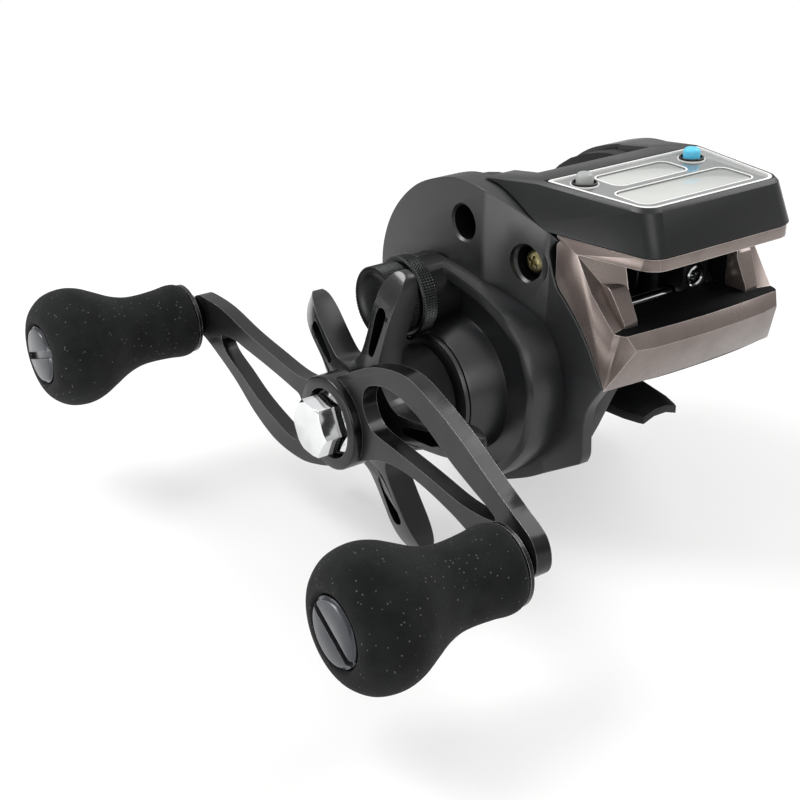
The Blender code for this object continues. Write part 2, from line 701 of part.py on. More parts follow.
def build_frame(looks):
    frame = place("frame", prism(offset_outline(fin_outline(), -WALL_INSET), -WALL_OUT,
                                 -WALL_IN_OUT), looks["frame"])
    add(frame, prism(offset_outline(palm_side_outline(), -WALL_INSET), WALL_IN_OUT, WALL_OUT))
    inside = WALL_IN_OUT + GAP
    inner = SPOOL_R + CRADLE_ROOM
    pad_bottom = FOOT_MIDDLE + GAP
    pad = prism(box_outline(SPOOL_X - PAD_LENGTH / 2, SPOOL_X + PAD_LENGTH / 2, pad_bottom,
                            pad_bottom + PAD), -PAD_OUT, PAD_OUT)
    add(frame, pad)
    cut(frame, prism(circle(SPOOL_X, SPOOL_Z, inner + CRADLE / 2), -PAD_OUT - OVERRUN,
                     PAD_OUT + OVERRUN))
    add(frame, prism(ring_sector(SPOOL_X, SPOOL_Z, inner, inner + CRADLE, CRADLE_REAR,
                                 CRADLE_FRONT), -inside, inside))
    deck_z = DRIVE_Z + DECK_RISE
    deck_drop = SPOOL_Z - deck_z - DECK
    deck_back = SPOOL_X + math.sqrt(inner * inner - deck_drop * deck_drop)
    add(frame, prism(box_outline(deck_back, deck_back + DECK_LENGTH, deck_z, deck_z + DECK),
                     -inside, inside))
    bridge_x = share_point(JOINT_SHARES[-1])[0] - WALL_INSET
    bridge_z = DRIVE_Z + BRIDGE_RISE
    add(frame, prism(box_outline(bridge_x - BRIDGE_LENGTH, bridge_x, bridge_z, bridge_z + BRIDGE),
                     -inside, inside))
    build_frame_bores(frame)
    return frame


def build_frame_bores(frame):
    for x, z, radius in ((DRIVE_X, DRIVE_Z, COG_R), (IDLER_X, IDLER_Z, IDLER_R),
                         (WORM_X, WORM_Z, WORM_GEAR_R)):
        reach = radius + LEVEL_MODULE + POCKET_ROOM
        cut(frame, prism(circle(x, z, reach), -WALL_OUT - OVERRUN, -POCKET_FLOOR_OUT))
    add(frame, rod(IDLER_X, IDLER_Z, -WALL_OUT + GAP, -POCKET_FLOOR_OUT + GAP, IDLER_PIN_R))
    cut(frame, rod(DRIVE_X, DRIVE_Z, -WALL_OUT, -WALL_IN_OUT + OVERRUN, SHAFT_BEARING_R + GAP))
    for side in (-1, 1):
        outer, inner = side * (WALL_OUT + OVERRUN), side * (WALL_IN_OUT - OVERRUN)
        cut(frame, rod(SPOOL_X, SPOOL_Z, outer, inner, SPOOL_BEARING_R + GAP))
        cut(frame, rod(WORM_X, WORM_Z, outer, inner, WORM_R + GAP))
        cut(frame, rod(RAIL_X, RAIL_Z, outer, inner, RAIL_R + GAP))
    for share in WELL_SHARES:
        x, z = share_point(share)
        cut(frame, rod(x, z, -WALL_OUT - OVERRUN, -WALL_OUT + SCREW_BITE + GAP,
                       SCREW_SHANK_R + GAP))


def build_foot(looks):
    """Arched plate: the underside is a shallow channel with a flat crown at Z = 0."""
    columns = [-1.0, -0.7, -FOOT_FLAT_SHARE, FOOT_FLAT_SHARE, 0.7, 1.0]
    bm = bmesh.new()
    rows = []
    for station, width in FOOT_STATION_SHARES:
        taper = max(abs(station) - FOOT_TAPER_SHARE, 0) / (1 - FOOT_TAPER_SHARE)
        half = (FOOT_MIDDLE_OUT + (FOOT_TIP_OUT - FOOT_MIDDLE_OUT) * taper) * width
        thick = FOOT_MIDDLE + (FOOT_TIP - FOOT_MIDDLE) * taper
        under, over = [], []
        for c in columns:
            drop = FOOT_ARCH * max(abs(c) - FOOT_FLAT_SHARE, 0) / (1 - FOOT_FLAT_SHARE)
            x, y = station * FOOT_LENGTH / 2, c * half
            under.append(bm.verts.new((x, y, -drop)))
            over.append(bm.verts.new((x, y, thick - drop)))
        rows.append(under + over[::-1])
    for row, following in zip(rows, rows[1:]):
        for i in range(len(row)):
            k = (i + 1) % len(row)
            bm.faces.new((row[i], row[k], following[k], following[i]))
    bm.faces.new(rows[0][::-1])
    bm.faces.new(rows[-1])
    foot = place("reel_foot", bm, looks["frame"])
    for name, spread in (("front", RIVET_SPREAD), ("rear", -RIVET_SPREAD)):
        x = SPOOL_X + spread
        cut(foot, peg(x, 0, -OVERRUN, FOOT_MIDDLE + OVERRUN, RIVET_R + GAP))
        place(f"foot_rivet_{name}", peg(x, 0, GAP, FOOT_MIDDLE, RIVET_R), looks["steel"])


def build_handle_side_cover(looks):
    outline = handle_side_outline()
    plate = prism(outline, -COVER_SEAT_OUT, -COVER_FACE_OUT)
    round_edges(plate, rim_edges(plate, -COVER_FACE_OUT), COVER_ROUND)
    taper_nose(plate, -1, COVER_FACE_OUT, COVER_NOSE_OUT)
    cover = place("handle_side_cover", plate, looks["cover"])
    case = curve_through([share_point(s) for s in CASE_SHARES], closed=True)
    shell = prism(case, -COVER_SEAT_OUT, -CASE_FACE_OUT)
    for v in shell.verts:
        if abs(v.co.y + COVER_SEAT_OUT) < WELD:
            v.co.x += (v.co.x - DRIVE_X) / COVER_REACH * CASE_DRAFT
            v.co.z += (v.co.z - DRIVE_Z) / COVER_REACH * CASE_DRAFT
    add(cover, shell)
    cut(cover, prism(offset_outline(case, -CASE_LIP), -CASE_FACE_OUT - OVERRUN, -CASE_FLOOR_OUT))
    boss = [(-CASE_FLOOR_OUT + CASE_FLOOR, 0), (-CASE_FLOOR_OUT + CASE_FLOOR, BOSS_BASE_R),
            (-CASE_FLOOR_OUT, BOSS_BASE_R), (-BOSS_FACE_OUT + BOSS_RIM, BOSS_FRONT_R + BOSS_RIM / 3),
            (-BOSS_FACE_OUT, BOSS_FRONT_R - BOSS_RIM), (-BOSS_FACE_OUT, 0)]
    add(cover, turned(boss, (DRIVE_X, 0, DRIVE_Z), (0, 1, 0)))
    add(cover, prism(circle(SPOOL_X, SPOOL_Z, CAP_BOSS_R, start=0.0), -CASE_FLOOR_OUT + GAP,
                     -CAP_SEAT_OUT))
    cut(cover, rod(SPOOL_X, SPOOL_Z, -CAP_SEAT_OUT, -BOSS_FACE_OUT - OVERRUN,
                   CAP_RING_R + 2 * GAP, ROUND_STEPS))
    inside = offset_outline(outline, -COVER_WALL)
    hollow = prism(inside, -COVER_SEAT_OUT + OVERRUN, -COVER_FACE_OUT + COVER_WALL)
    taper_nose(hollow, -1, COVER_FACE_OUT - COVER_WALL, COVER_NOSE_OUT - COVER_WALL)
    cut(cover, hollow)
    cut(cover, prism(offset_outline(case, -CASE_WALL), -COVER_SEAT_OUT + OVERRUN,
                     -CASE_FLOOR_OUT + CASE_FLOOR))
    gear_room = DRIVE_MODULE * (DRIVE_TEETH / 2 + TIP_SHARE) + GAP
    cut(cover, rod(DRIVE_X, DRIVE_Z, -COVER_SEAT_OUT + OVERRUN, -GEAR_OUTER_OUT - GAP, gear_room,
                   2 * ROUND_STEPS))
    for share in WELL_SHARES:
        x, z = share_point(share)
        face = cover_face_out(x) - COVER_WALL / 2
        add(cover, rod(x, z, -COVER_SEAT_OUT, -face, WELL_R + WELL_WALL))
        cut(cover, rod(x, z, -COVER_SEAT_OUT - WELL_FLOOR, -CASE_FACE_OUT, WELL_R, ROUND_STEPS))
        cut(cover, rod(x, z, -COVER_SEAT_OUT + OVERRUN, -CASE_FACE_OUT, SCREW_SHANK_R + GAP))
    cut(cover, rod(DRIVE_X, DRIVE_Z, -COVER_SEAT_OUT + OVERRUN, -BOSS_FACE_OUT + BOSS_RIM,
                   BOSS_BORE_R, ROUND_STEPS))
    cut(cover, rod(DRIVE_X, DRIVE_Z, -COVER_SEAT_OUT, -BOSS_FACE_OUT - OVERRUN, BOSS_EYE_R,
                   ROUND_STEPS))
    cut(cover, rod(SPOOL_X, SPOOL_Z, -COVER_SEAT_OUT + OVERRUN, -CAP_SEAT_OUT - OVERRUN,
                   SPOOL_SHAFT_R + RUN_ROOM))
    return cover


def build_palm_side_cover(looks):
    outline = palm_side_outline()
    plate = prism(outline, COVER_SEAT_OUT, PALM_FACE_OUT)
    round_edges(plate, rim_edges(plate, PALM_FACE_OUT), PALM_ROUND)
    taper_nose(plate, 1, PALM_FACE_OUT, PALM_NOSE_OUT)
    cover = place("palm_side_cover", plate, looks["cover"])
    hollow = prism(offset_outline(outline, -COVER_WALL), COVER_SEAT_OUT - OVERRUN,
                   PALM_FACE_OUT - PALM_WALL - DIAL + DIAL_PROUD)
    taper_nose(hollow, 1, PALM_FACE_OUT - PALM_WALL - DIAL + DIAL_PROUD,
               PALM_NOSE_OUT - PALM_WALL)
    cut(cover, hollow)
    dial_seat = PALM_FACE_OUT - DIAL + DIAL_PROUD - GAP
    cut(cover, rod(SPOOL_X, SPOOL_Z, dial_seat, PALM_FACE_OUT + OVERRUN,
                   DIAL_R + DIAL_RIB + GAP, ROUND_STEPS))
    cut(cover, rod(SPOOL_X, SPOOL_Z, COVER_SEAT_OUT, PALM_FACE_OUT, DIAL_STEM_R + GAP))
    return cover


def ribbed_outline(x, z, radius, rib, ribs):
    """Circle with a rib on every other step, as on a moulded dial or a knurled cap."""
    outline = []
    for i in range(ribs):
        for share, height in ((0.0, 0), (0.3, 0), (0.5, rib), (0.8, rib)):
            a = 2 * math.pi * (i + share) / ribs
            outline.append((x + (radius + height) * math.cos(a), z + (radius + height) * math.sin(a)))
    return outline


def build_brake(looks, spool_pivot, dial_pivot):
    back = PALM_FACE_OUT - DIAL + DIAL_PROUD
    dial = place("brake_dial", prism(ribbed_outline(SPOOL_X, SPOOL_Z, DIAL_R, DIAL_RIB, DIAL_RIBS),
                                     back, PALM_FACE_OUT + DIAL_PROUD), looks["dial"], dial_pivot)
    stem_end = back - PALM_WALL - GAP
    add(dial, rod(SPOOL_X, SPOOL_Z, stem_end, back + GAP, DIAL_STEM_R))
    drum_end = PALM_FACE_OUT - PALM_WALL - DIAL + DIAL_PROUD - GAP
    place("brake_drum", ring(SPOOL_X, SPOOL_Z, drum_end - BRAKE_DRUM_LENGTH, drum_end,
                             BRAKE_DRUM_R - BRAKE_DRUM, BRAKE_DRUM_R), looks["brass"])
    rotor_start = COVER_SEAT_OUT + GAP
    arms = []
    for i in range(BRAKE_BLOCKS * 4):
        a = 2 * math.pi * i / (BRAKE_BLOCKS * 4)
        radius = BRAKE_ROTOR_R if i % 4 < 2 else BRAKE_ROTOR_R - BRAKE_BLOCK
        arms.append((SPOOL_X + radius * math.cos(a), SPOOL_Z + radius * math.sin(a)))
    rotor = place("brake_rotor", prism(arms, rotor_start, rotor_start + BRAKE_ROTOR),
                  looks["polymer"], spool_pivot)
    cut(rotor, rod(SPOOL_X, SPOOL_Z, rotor_start - OVERRUN, rotor_start + OVERRUN,
                   SPOOL_SHAFT_R + GAP))


def front_point(share, out):
    x, z = share_point(share)
    return (x, out, z)


def build_front_cover(looks):
    visor_top = DRIVE_Z + VISOR_TOP_SHARE * COVER_REACH
    visor_floor = DRIVE_Z + VISOR_FLOOR_SHARE * COVER_REACH
    nose_x = DRIVE_X + VISOR_NOSE_SHARE * COVER_REACH
    root_x = DRIVE_X + VISOR_ROOT_SHARE * COVER_REACH
    sill = front_point(SILL_CORNER_SHARES, SILL_CORNER_OUT)
    fold = front_point(FOLD_CORNER_SHARES, FOLD_CORNER_OUT)
    chin = front_point(CHIN_CORNER_SHARES, CHIN_CORNER_OUT)
    top = front_point(CHEEK_TOP_SHARES, CHEEK_TOP_OUT)
    plan = display_corners(nose_x - DRIVE_X, VISOR_NOSE_OUT, root_x - DRIVE_X, VISOR_ROOT_OUT,
                           DISPLAY_ROUND)
    points = [(x, y, z) for x, y in plan for z in (visor_floor, visor_top)]
    edge_x = DRIVE_X + CHEEK_EDGE_TOP_SHARE * COVER_REACH
    points += both_sides([sill, fold, chin, top, (root_x, CHEEK_TOP_OUT, chin[2]),
                          (edge_x, CHEEK_EDGE_TOP_OUT, visor_floor)])
    bow = [(share * SILL_CORNER_OUT, FRONT_BOW * max(1 - share * share, 0))
           for share in BOW_STATION_SHARES]
    points += [(fold[0] + out, y, fold[2]) for y, out in bow if out]
    points += [(chin[0] + out, y, chin[2]) for y, out in bow if out]
    cover = place("front_cover", hull(points), looks["bronze"])
    sill_z, sill_x = sill[2], sill[0]
    for (y0, out0), (y1, out1) in zip(bow, bow[1:]):
        cut(cover, hull([(x, y, z) for y, out in ((y0, out0), (y1, out1))
                         for x, z in ((sill_x + out, sill_z), (fold[0] + out, fold[2]),
                                      (sill_x + out, sill_z + GAP),
                                      (nose_x + OVERRUN, fold[2]), (nose_x + OVERRUN, sill_z + GAP))]))
    cut_side_plates(cover)
    wall_x = [DRIVE_X + s * COVER_REACH for s in (POST_TOP_SHARE, POST_FOOT_SHARE)]
    beyond = nose_x + OVERRUN
    for side in (-1, 1):
        funnel = []
        for x, y, z in ((edge_x, CHEEK_EDGE_TOP_OUT, visor_floor), (sill_x, sill[1], sill_z),
                        (wall_x[0], WINDOW_OUT - GAP, visor_floor),
                        (wall_x[1], WINDOW_OUT - GAP, sill_z),
                        (edge_x, CASE_FACE_OUT, visor_floor), (sill_x, CASE_FACE_OUT, sill_z),
                        (beyond, WINDOW_OUT - GAP, visor_floor), (beyond, WINDOW_OUT - GAP, sill_z),
                        (beyond, CASE_FACE_OUT, visor_floor), (beyond, CASE_FACE_OUT, sill_z)):
            funnel.append((x, side * y, z))
        cut(cover, hull(funnel))
    cut(cover, prism(box_outline(root_x - OVERRUN, beyond, sill_z, visor_floor),
                     -WINDOW_OUT, WINDOW_OUT))
    chin_hollow = [(root_x, chin[2] + FRONT_WALL), (chin[0] - FRONT_WALL, chin[2] + FRONT_WALL / 2),
                   (fold[0] - FRONT_WALL * 1.2, fold[2]), (sill_x - FRONT_WALL, sill_z - SILL),
                   (root_x, sill_z - SILL)]
    cut(cover, prism(chin_hollow, -WALL_OUT - GAP, WALL_OUT + GAP))
    cut(cover, prism(box_outline(root_x - OVERRUN, chin[0] - FRONT_WALL, chin[2] - OVERRUN,
                                 chin[2] + FRONT_WALL * 1.5), -WALL_OUT - GAP, WALL_OUT + GAP))
    return cover


def display_corners(front, front_out, rear, rear_out, radius):
    """Plan outline of the display, its two front corners rounded."""
    corner = []
    for i in range(CORNER_STEPS + 1):
        a = math.pi / 2 * i / CORNER_STEPS
        corner.append((front - radius * (1 - math.sin(a)), front_out - radius * (1 - math.cos(a))))
    left = [(rear, rear_out)] + corner
    return [(DRIVE_X + x, y) for x, y in left] + [(DRIVE_X + x, -y) for x, y in reversed(left)]


def display_outline(inset):
    lean = (DISPLAY_REAR_OUT - DISPLAY_FRONT_OUT) / (DISPLAY_FRONT - DISPLAY_REAR)
    side = inset * math.sqrt(1 + lean * lean)
    return display_corners(DISPLAY_FRONT - inset, DISPLAY_FRONT_OUT - side + lean * inset,
                           DISPLAY_REAR + inset, DISPLAY_REAR_OUT - side - lean * inset,
                           DISPLAY_ROUND - inset / 2)


def lcd_box(size, at, grow):
    """Plan outline of a display window with cut corners."""
    x, y = DRIVE_X + at[0], at[1]
    half_x, half_y, corner = size[0] / 2 + grow, size[1] / 2 + grow, LCD_CORNER
    quarter = [(half_x, half_y - corner), (half_x - corner * CUT_SHARE, half_y - corner * CUT_SHARE),
               (half_x - corner, half_y)]
    loop = [(a, b) for a, b in quarter] + [(-a, b) for a, b in reversed(quarter)]
    loop += [(-a, -b) for a, b in quarter] + [(a, -b) for a, b in reversed(quarter)]
    return [(x + a, y + b) for a, b in loop]


def build_display(looks, button_pivots):
    top, floor = DRIVE_Z + DISPLAY_TOP, DRIVE_Z + DISPLAY_FLOOR
    upper = display_outline(0)
    lower = display_corners(DISPLAY_FOOT_FRONT, DISPLAY_FOOT_FRONT_OUT, DISPLAY_REAR,
                            DISPLAY_FOOT_REAR_OUT, DISPLAY_ROUND)
    back = DRIVE_X + DISPLAY_REAR - SHOULDER_BACK
    points = [(x, y, top - DISPLAY_EDGE) for x, y in upper] + [(x, y, floor) for x, y in lower]
    inner = display_outline(DISPLAY_EDGE)
    points += [(x, y, top) for x, y in inner]
    points += both_sides([(back, SHOULDER_OUT, top - SHOULDER_DROP), (back, SHOULDER_OUT, floor)])
    housing = place("display_housing", hull(points), looks["housing"])
    cut_side_plates(housing)
    bay_front = DRIVE_X + THUMB_BAY
    cut(housing, prism(box_outline(back - OVERRUN, bay_front, floor - OVERRUN, top + OVERRUN),
                       -WALL_IN_OUT, WALL_IN_OUT))
    hollow = display_outline(PANEL_INSET + DISPLAY_WALL)
    recess = top - PANEL
    cut(housing, slab(hollow, floor - OVERRUN, recess - ROOF))
    cut(housing, slab(display_outline(PANEL_INSET - GAP), recess, top + OVERRUN))
    rim = place("display_rim", slab(display_outline(PANEL_INSET), recess + GAP, top), looks["rim"])
    cut(rim, slab(display_outline(PANEL_INSET + RIM_WIDTH), recess - OVERRUN, top + OVERRUN))
    panel = place("display_panel", slab(display_outline(PANEL_INSET + RIM_WIDTH + GAP),
                                        recess + GAP, top - GAP), looks["panel"])
    for name, size, at in (("depth_lcd", DEPTH_LCD_SIZE, DEPTH_LCD_AT),
                           ("mode_lcd", MODE_LCD_SIZE, MODE_LCD_AT)):
        cut(panel, slab(lcd_box(size, at, GAP), recess - OVERRUN, top + OVERRUN))
        place(name, slab(lcd_box(size, at, 0), recess + GAP, top - GAP - LCD_SET), looks["lcd"])
    build_buttons(looks, housing, panel, button_pivots, top, recess)
    base_top = floor + BASE
    place("display_base", slab(display_outline(PANEL_INSET + DISPLAY_WALL + GAP), floor, base_top),
          looks["polymer"])
    board_z = base_top + CELL + 2 * GAP
    place("circuit_board", slab(display_outline(PANEL_INSET + DISPLAY_WALL + 2 * GAP), board_z,
                                board_z + BOARD), looks["board"])
    place("coin_cell", peg(DRIVE_X + DEPTH_LCD_AT[0] - CELL_R / 2, 0, base_top + GAP,
                           base_top + GAP + CELL, CELL_R, ROUND_STEPS), looks["steel"])
    return housing


def build_buttons(looks, housing, panel, pivots, top, recess):
    x = DRIVE_X + BUTTON_X
    for name, y in BUTTON_PLACES.items():
        cut(housing, peg(x, y, recess - ROOF - OVERRUN, recess + OVERRUN, BUTTON_R + GAP))
        cut(panel, peg(x, y, recess - OVERRUN, top + OVERRUN, BUTTON_RING_R + GAP))
        bezel = turned([(recess + GAP, BUTTON_RING_R - BUTTON_RING_WALL), (recess + GAP, BUTTON_RING_R),
                        (top, BUTTON_RING_R), (top + BUTTON_RING_PROUD, BUTTON_RING_R - GAP),
                        (top + BUTTON_RING_PROUD, BUTTON_RING_R - BUTTON_RING_WALL)],
                       (x, y, 0), (0, 0, 1), SMALL_STEPS, closed=True)
        place(f"{name}_ring", bezel, looks["polymer"])
        key = turned([(recess - BUTTON_STEM, 0), (recess - BUTTON_STEM, BUTTON_R),
                      (top + BUTTON_PROUD - BUTTON_DOME, BUTTON_R),
                      (top + BUTTON_PROUD, BUTTON_R - BUTTON_DOME), (top + BUTTON_PROUD, 0)],
                     (x, y, 0), (0, 0, 1), SMALL_STEPS)
        place(name, key, looks[name], pivots[name])


def build_screws(looks):
    for name, share in zip(("cover_screw_top", "cover_screw_front"), WELL_SHARES):
        x, z = share_point(share)
        seat = -COVER_SEAT_OUT - WELL_FLOOR - GAP
        profile = [(seat - SCREW_HEAD, 0), (seat - SCREW_HEAD, SCREW_HEAD_R), (seat, SCREW_HEAD_R),
                   (seat, SCREW_SHANK_R), (-WALL_OUT + SCREW_BITE, SCREW_SHANK_R),
                   (-WALL_OUT + SCREW_BITE, 0)]
        screw = place(name, turned(profile, (x, 0, z), (0, 1, 0), SMALL_STEPS), looks["brass"])
        half, wide = CROSS_LENGTH / 2, CROSS_WIDTH / 2
        for a, b in ((half, wide), (wide, half)):
            cut(screw, prism(box_outline(x - a, x + a, z - b, z + b),
                             seat - SCREW_HEAD - OVERRUN, seat - SCREW_HEAD + CROSS_DEPTH))


def build_bearings(looks):
    inner = -WALL_IN_OUT - GAP
    place("spool_bearing_handle", ring(SPOOL_X, SPOOL_Z, inner - BEARING, inner,
                                       SPOOL_SHAFT_R + GAP, SPOOL_BEARING_R), looks["steel"])
    place("spool_bearing_palm", ring(SPOOL_X, SPOOL_Z, -inner, -inner + BEARING,
                                     SPOOL_SHAFT_R + GAP, SPOOL_BEARING_R), looks["steel"])
    place("drive_shaft_bearing", ring(DRIVE_X, DRIVE_Z, inner - BEARING, inner, SHAFT_R + GAP,
                                      SHAFT_BEARING_R), looks["steel"])
    start = -BOSS_FACE_OUT + BOSS_RIM + GAP
    place("anti_reverse_bearing", ring(DRIVE_X, DRIVE_Z, start, start + CLUTCH_BEARING,
                                       SLEEVE_R + GAP, CLUTCH_BEARING_R), looks["steel"])


def build_spool(looks, pivot):
    half, lip, web = SPOOL_OUT, SPOOL_LIP, SPOOL_WEB
    bore = SPOOL_SHAFT_R + GAP
    dish = SPOOL_R - 2 * web
    core = SPOOL_DRUM_R - web
    floor = half - 2 * lip - web
    hub_end = half - lip
    loop = [(-hub_end, bore), (-hub_end, SPOOL_HUB_R), (-floor, SPOOL_HUB_R), (-floor, core),
            (-half, dish), (-half, SPOOL_R), (-half + lip, SPOOL_R), (-half + 2 * lip, SPOOL_DRUM_R),
            (half - 2 * lip, SPOOL_DRUM_R), (half - lip, SPOOL_R), (half, SPOOL_R), (half, dish),
            (floor, core), (floor, SPOOL_HUB_R), (hub_end, SPOOL_HUB_R), (hub_end, bore)]
    place("spool", turned(loop, (SPOOL_X, 0, SPOOL_Z), (0, 1, 0), ROUND_STEPS + SMALL_STEPS,
                          closed=True), looks["spool"], pivot)
    place("spool_shaft", rod(SPOOL_X, SPOOL_Z, -SPOOL_SHAFT_HANDLE_OUT, SPOOL_SHAFT_PALM_OUT,
                             SPOOL_SHAFT_R), looks["steel"], pivot)
    phase = meshing_phase(SPOOL_ANGLE, DRIVE_TEETH, PINION_TEETH, SPOOL_ANGLE)
    pinion = place("pinion_gear", prism(gear_outline(SPOOL_X, SPOOL_Z, DRIVE_MODULE, PINION_TEETH,
                                                     phase), -GEAR_OUTER_OUT,
                                        -GEAR_OUTER_OUT + PINION_FACE), looks["brass"], pivot)
    cut(pinion, rod(SPOOL_X, SPOOL_Z, -GEAR_OUTER_OUT - OVERRUN, -COVER_SEAT_OUT,
                    SPOOL_SHAFT_R + GAP / 2))
    magnet_x = SPOOL_X + SPOOL_DRUM_R - SPOOL_WEB - MAGNET_R - SPOOL_WEB
    place("sensor_magnet", rod(magnet_x, SPOOL_Z, floor + GAP, floor + GAP + MAGNET, MAGNET_R),
          looks["steel"], pivot)
    sensor_z = SPOOL_Z + SPOOL_BEARING_R + SENSOR
    wall = WALL_OUT + GAP
    place("spool_sensor", prism(box_outline(SPOOL_X + SENSOR, SPOOL_X + 2 * SENSOR, sensor_z,
                                            sensor_z + SENSOR), wall, wall + SENSOR / 2),
          looks["board"])


def build_drive(looks, pivot):
    shaft_inner = -WALL_IN_OUT - GAP
    shaft_outer = -NUT_FACE_OUT + NUT_CHAMFER + 2 * GAP
    place("drive_shaft", rod(DRIVE_X, DRIVE_Z, shaft_outer, shaft_inner, SHAFT_R), looks["steel"],
          pivot)
    bore = SHAFT_R + GAP
    place("drive_sleeve", ring(DRIVE_X, DRIVE_Z, -BOSS_FACE_OUT + BOSS_RIM,
                               -GEAR_OUTER_OUT - GAP, bore, SLEEVE_R), looks["steel"], pivot)
    gear = place("drive_gear", prism(gear_outline(DRIVE_X, DRIVE_Z, DRIVE_MODULE, DRIVE_TEETH,
                                                  SPOOL_ANGLE), -GEAR_OUTER_OUT,
                                     -GEAR_OUTER_OUT + GEAR_FACE), looks["brass"], pivot)
    cut(gear, rod(DRIVE_X, DRIVE_Z, -GEAR_OUTER_OUT - OVERRUN, -GEAR_OUTER_OUT + WASHER_RECESS,
                  WASHER_R + GAP, ROUND_STEPS))
    cut(gear, rod(DRIVE_X, DRIVE_Z, -GEAR_OUTER_OUT - OVERRUN, -COVER_SEAT_OUT, bore))
    floor = -GEAR_OUTER_OUT + WASHER_RECESS - GAP
    place("drag_washer", ring(DRIVE_X, DRIVE_Z, floor - WASHER, floor, bore, WASHER_R),
          looks["polymer"], pivot)
    over = floor - WASHER - GAP
    place("pressure_washer", ring(DRIVE_X, DRIVE_Z, over - WASHER, over, bore, WASHER_R),
          looks["steel"], pivot)
    cog_back = -POCKET_FLOOR_OUT - GAP
    cog = place("level_wind_cog", prism(gear_outline(DRIVE_X, DRIVE_Z, LEVEL_MODULE, COG_TEETH, 0.0),
                                        cog_back - COG_FACE, cog_back), looks["polymer"], pivot)
    add(cog, rod(DRIVE_X, DRIVE_Z, -GEAR_OUTER_OUT + GEAR_FACE + GAP, cog_back - COG_FACE / 2,
                 COG_HUB_R))
    cut(cog, rod(DRIVE_X, DRIVE_Z, -GEAR_OUTER_OUT, -WALL_IN_OUT, bore))


def build_handle(looks, pivot):
    face, back = -HANDLE_FACE_OUT, -HANDLE_FACE_OUT + HANDLE_ARM
    edge = curve_through([arm_point(s) for s in ARM_TOP_SHARES + ARM_FOOT_SHARES], closed=True)
    blade = prism(edge, back, face)
    round_edges(blade, rim_edges(blade, face), HANDLE_EDGE, 1)
    arm = place("handle_arm", blade, looks["arm"], pivot)
    for window in (REAR_WINDOW_SHARES, FRONT_WINDOW_SHARES):
        cut(arm, prism(curve_through([arm_point(s) for s in window], closed=True),
                       face - OVERRUN, back + OVERRUN))
    rim = face - HUB_RAISE
    add(arm, turned([(rim, 0), (rim, HUB_R - HUB_CHAMFER), (rim + HUB_CHAMFER, HUB_R),
                     (back, HUB_R), (back, HUB_SLEEVE_R), (back + HUB_SLEEVE, HUB_SLEEVE_R),
                     (back + HUB_SLEEVE, 0)], (DRIVE_X, 0, DRIVE_Z), (0, 1, 0)))
    cut(arm, rod(DRIVE_X, DRIVE_Z, face - OVERRUN, face - HUB_RAISE + HUB_RECESS, HUB_RECESS_R,
                 ROUND_STEPS))
    cut(arm, rod(DRIVE_X, DRIVE_Z, face - OVERRUN, back + 2 * OVERRUN, SHAFT_R + GAP))
    seat = face - HUB_RAISE + HUB_RECESS - GAP
    place("nut_retainer", ring(DRIVE_X, DRIVE_Z, seat - RETAINER, seat, SHAFT_R + GAP, RETAINER_R),
          looks["polymer"], pivot)
    build_nut(looks, pivot, seat - RETAINER - GAP)
    for name, side in KNOB_PLACES.items():
        x, z = knob_axis(side)
        cut(arm, rod(x, z, face - OVERRUN, back + OVERRUN, SPINDLE_R + GAP))
        head = back + GAP
        end = face - KNOB_START - KNOB_LENGTH + KNOB_CAP + GAP
        spindle = turned([(head + SPINDLE_HEAD, 0), (head + SPINDLE_HEAD, SPINDLE_HEAD_R),
                          (head, SPINDLE_HEAD_R), (head, SPINDLE_R), (end, SPINDLE_R), (end, 0)],
                         (x, 0, z), (0, 1, 0), SMALL_STEPS)
        place(f"{name}_knob_spindle", spindle, looks["steel"], pivot)


def build_nut(looks, pivot, seat):
    flats = circle(DRIVE_X, DRIVE_Z, NUT_FLATS_R, 6, HANDLE_TILT)
    body = prism(flats, seat - NUT_FLANGE / 2, -NUT_FACE_OUT)
    round_edges(body, rim_edges(body, -NUT_FACE_OUT), NUT_CHAMFER, 2)
    nut = place("handle_nut", body, looks["chrome"], pivot)
    add(nut, turned([(seat, 0), (seat, NUT_FLANGE_R), (seat - NUT_FLANGE / 2, NUT_FLANGE_R),
                     (seat - NUT_FLANGE, NUT_FLATS_R), (seat - NUT_FLANGE, 0)],
                    (DRIVE_X, 0, DRIVE_Z), (0, 1, 0)))
    cut(nut, rod(DRIVE_X, DRIVE_Z, -NUT_FACE_OUT + NUT_CHAMFER + GAP, seat + OVERRUN,
                 SHAFT_R + GAP))


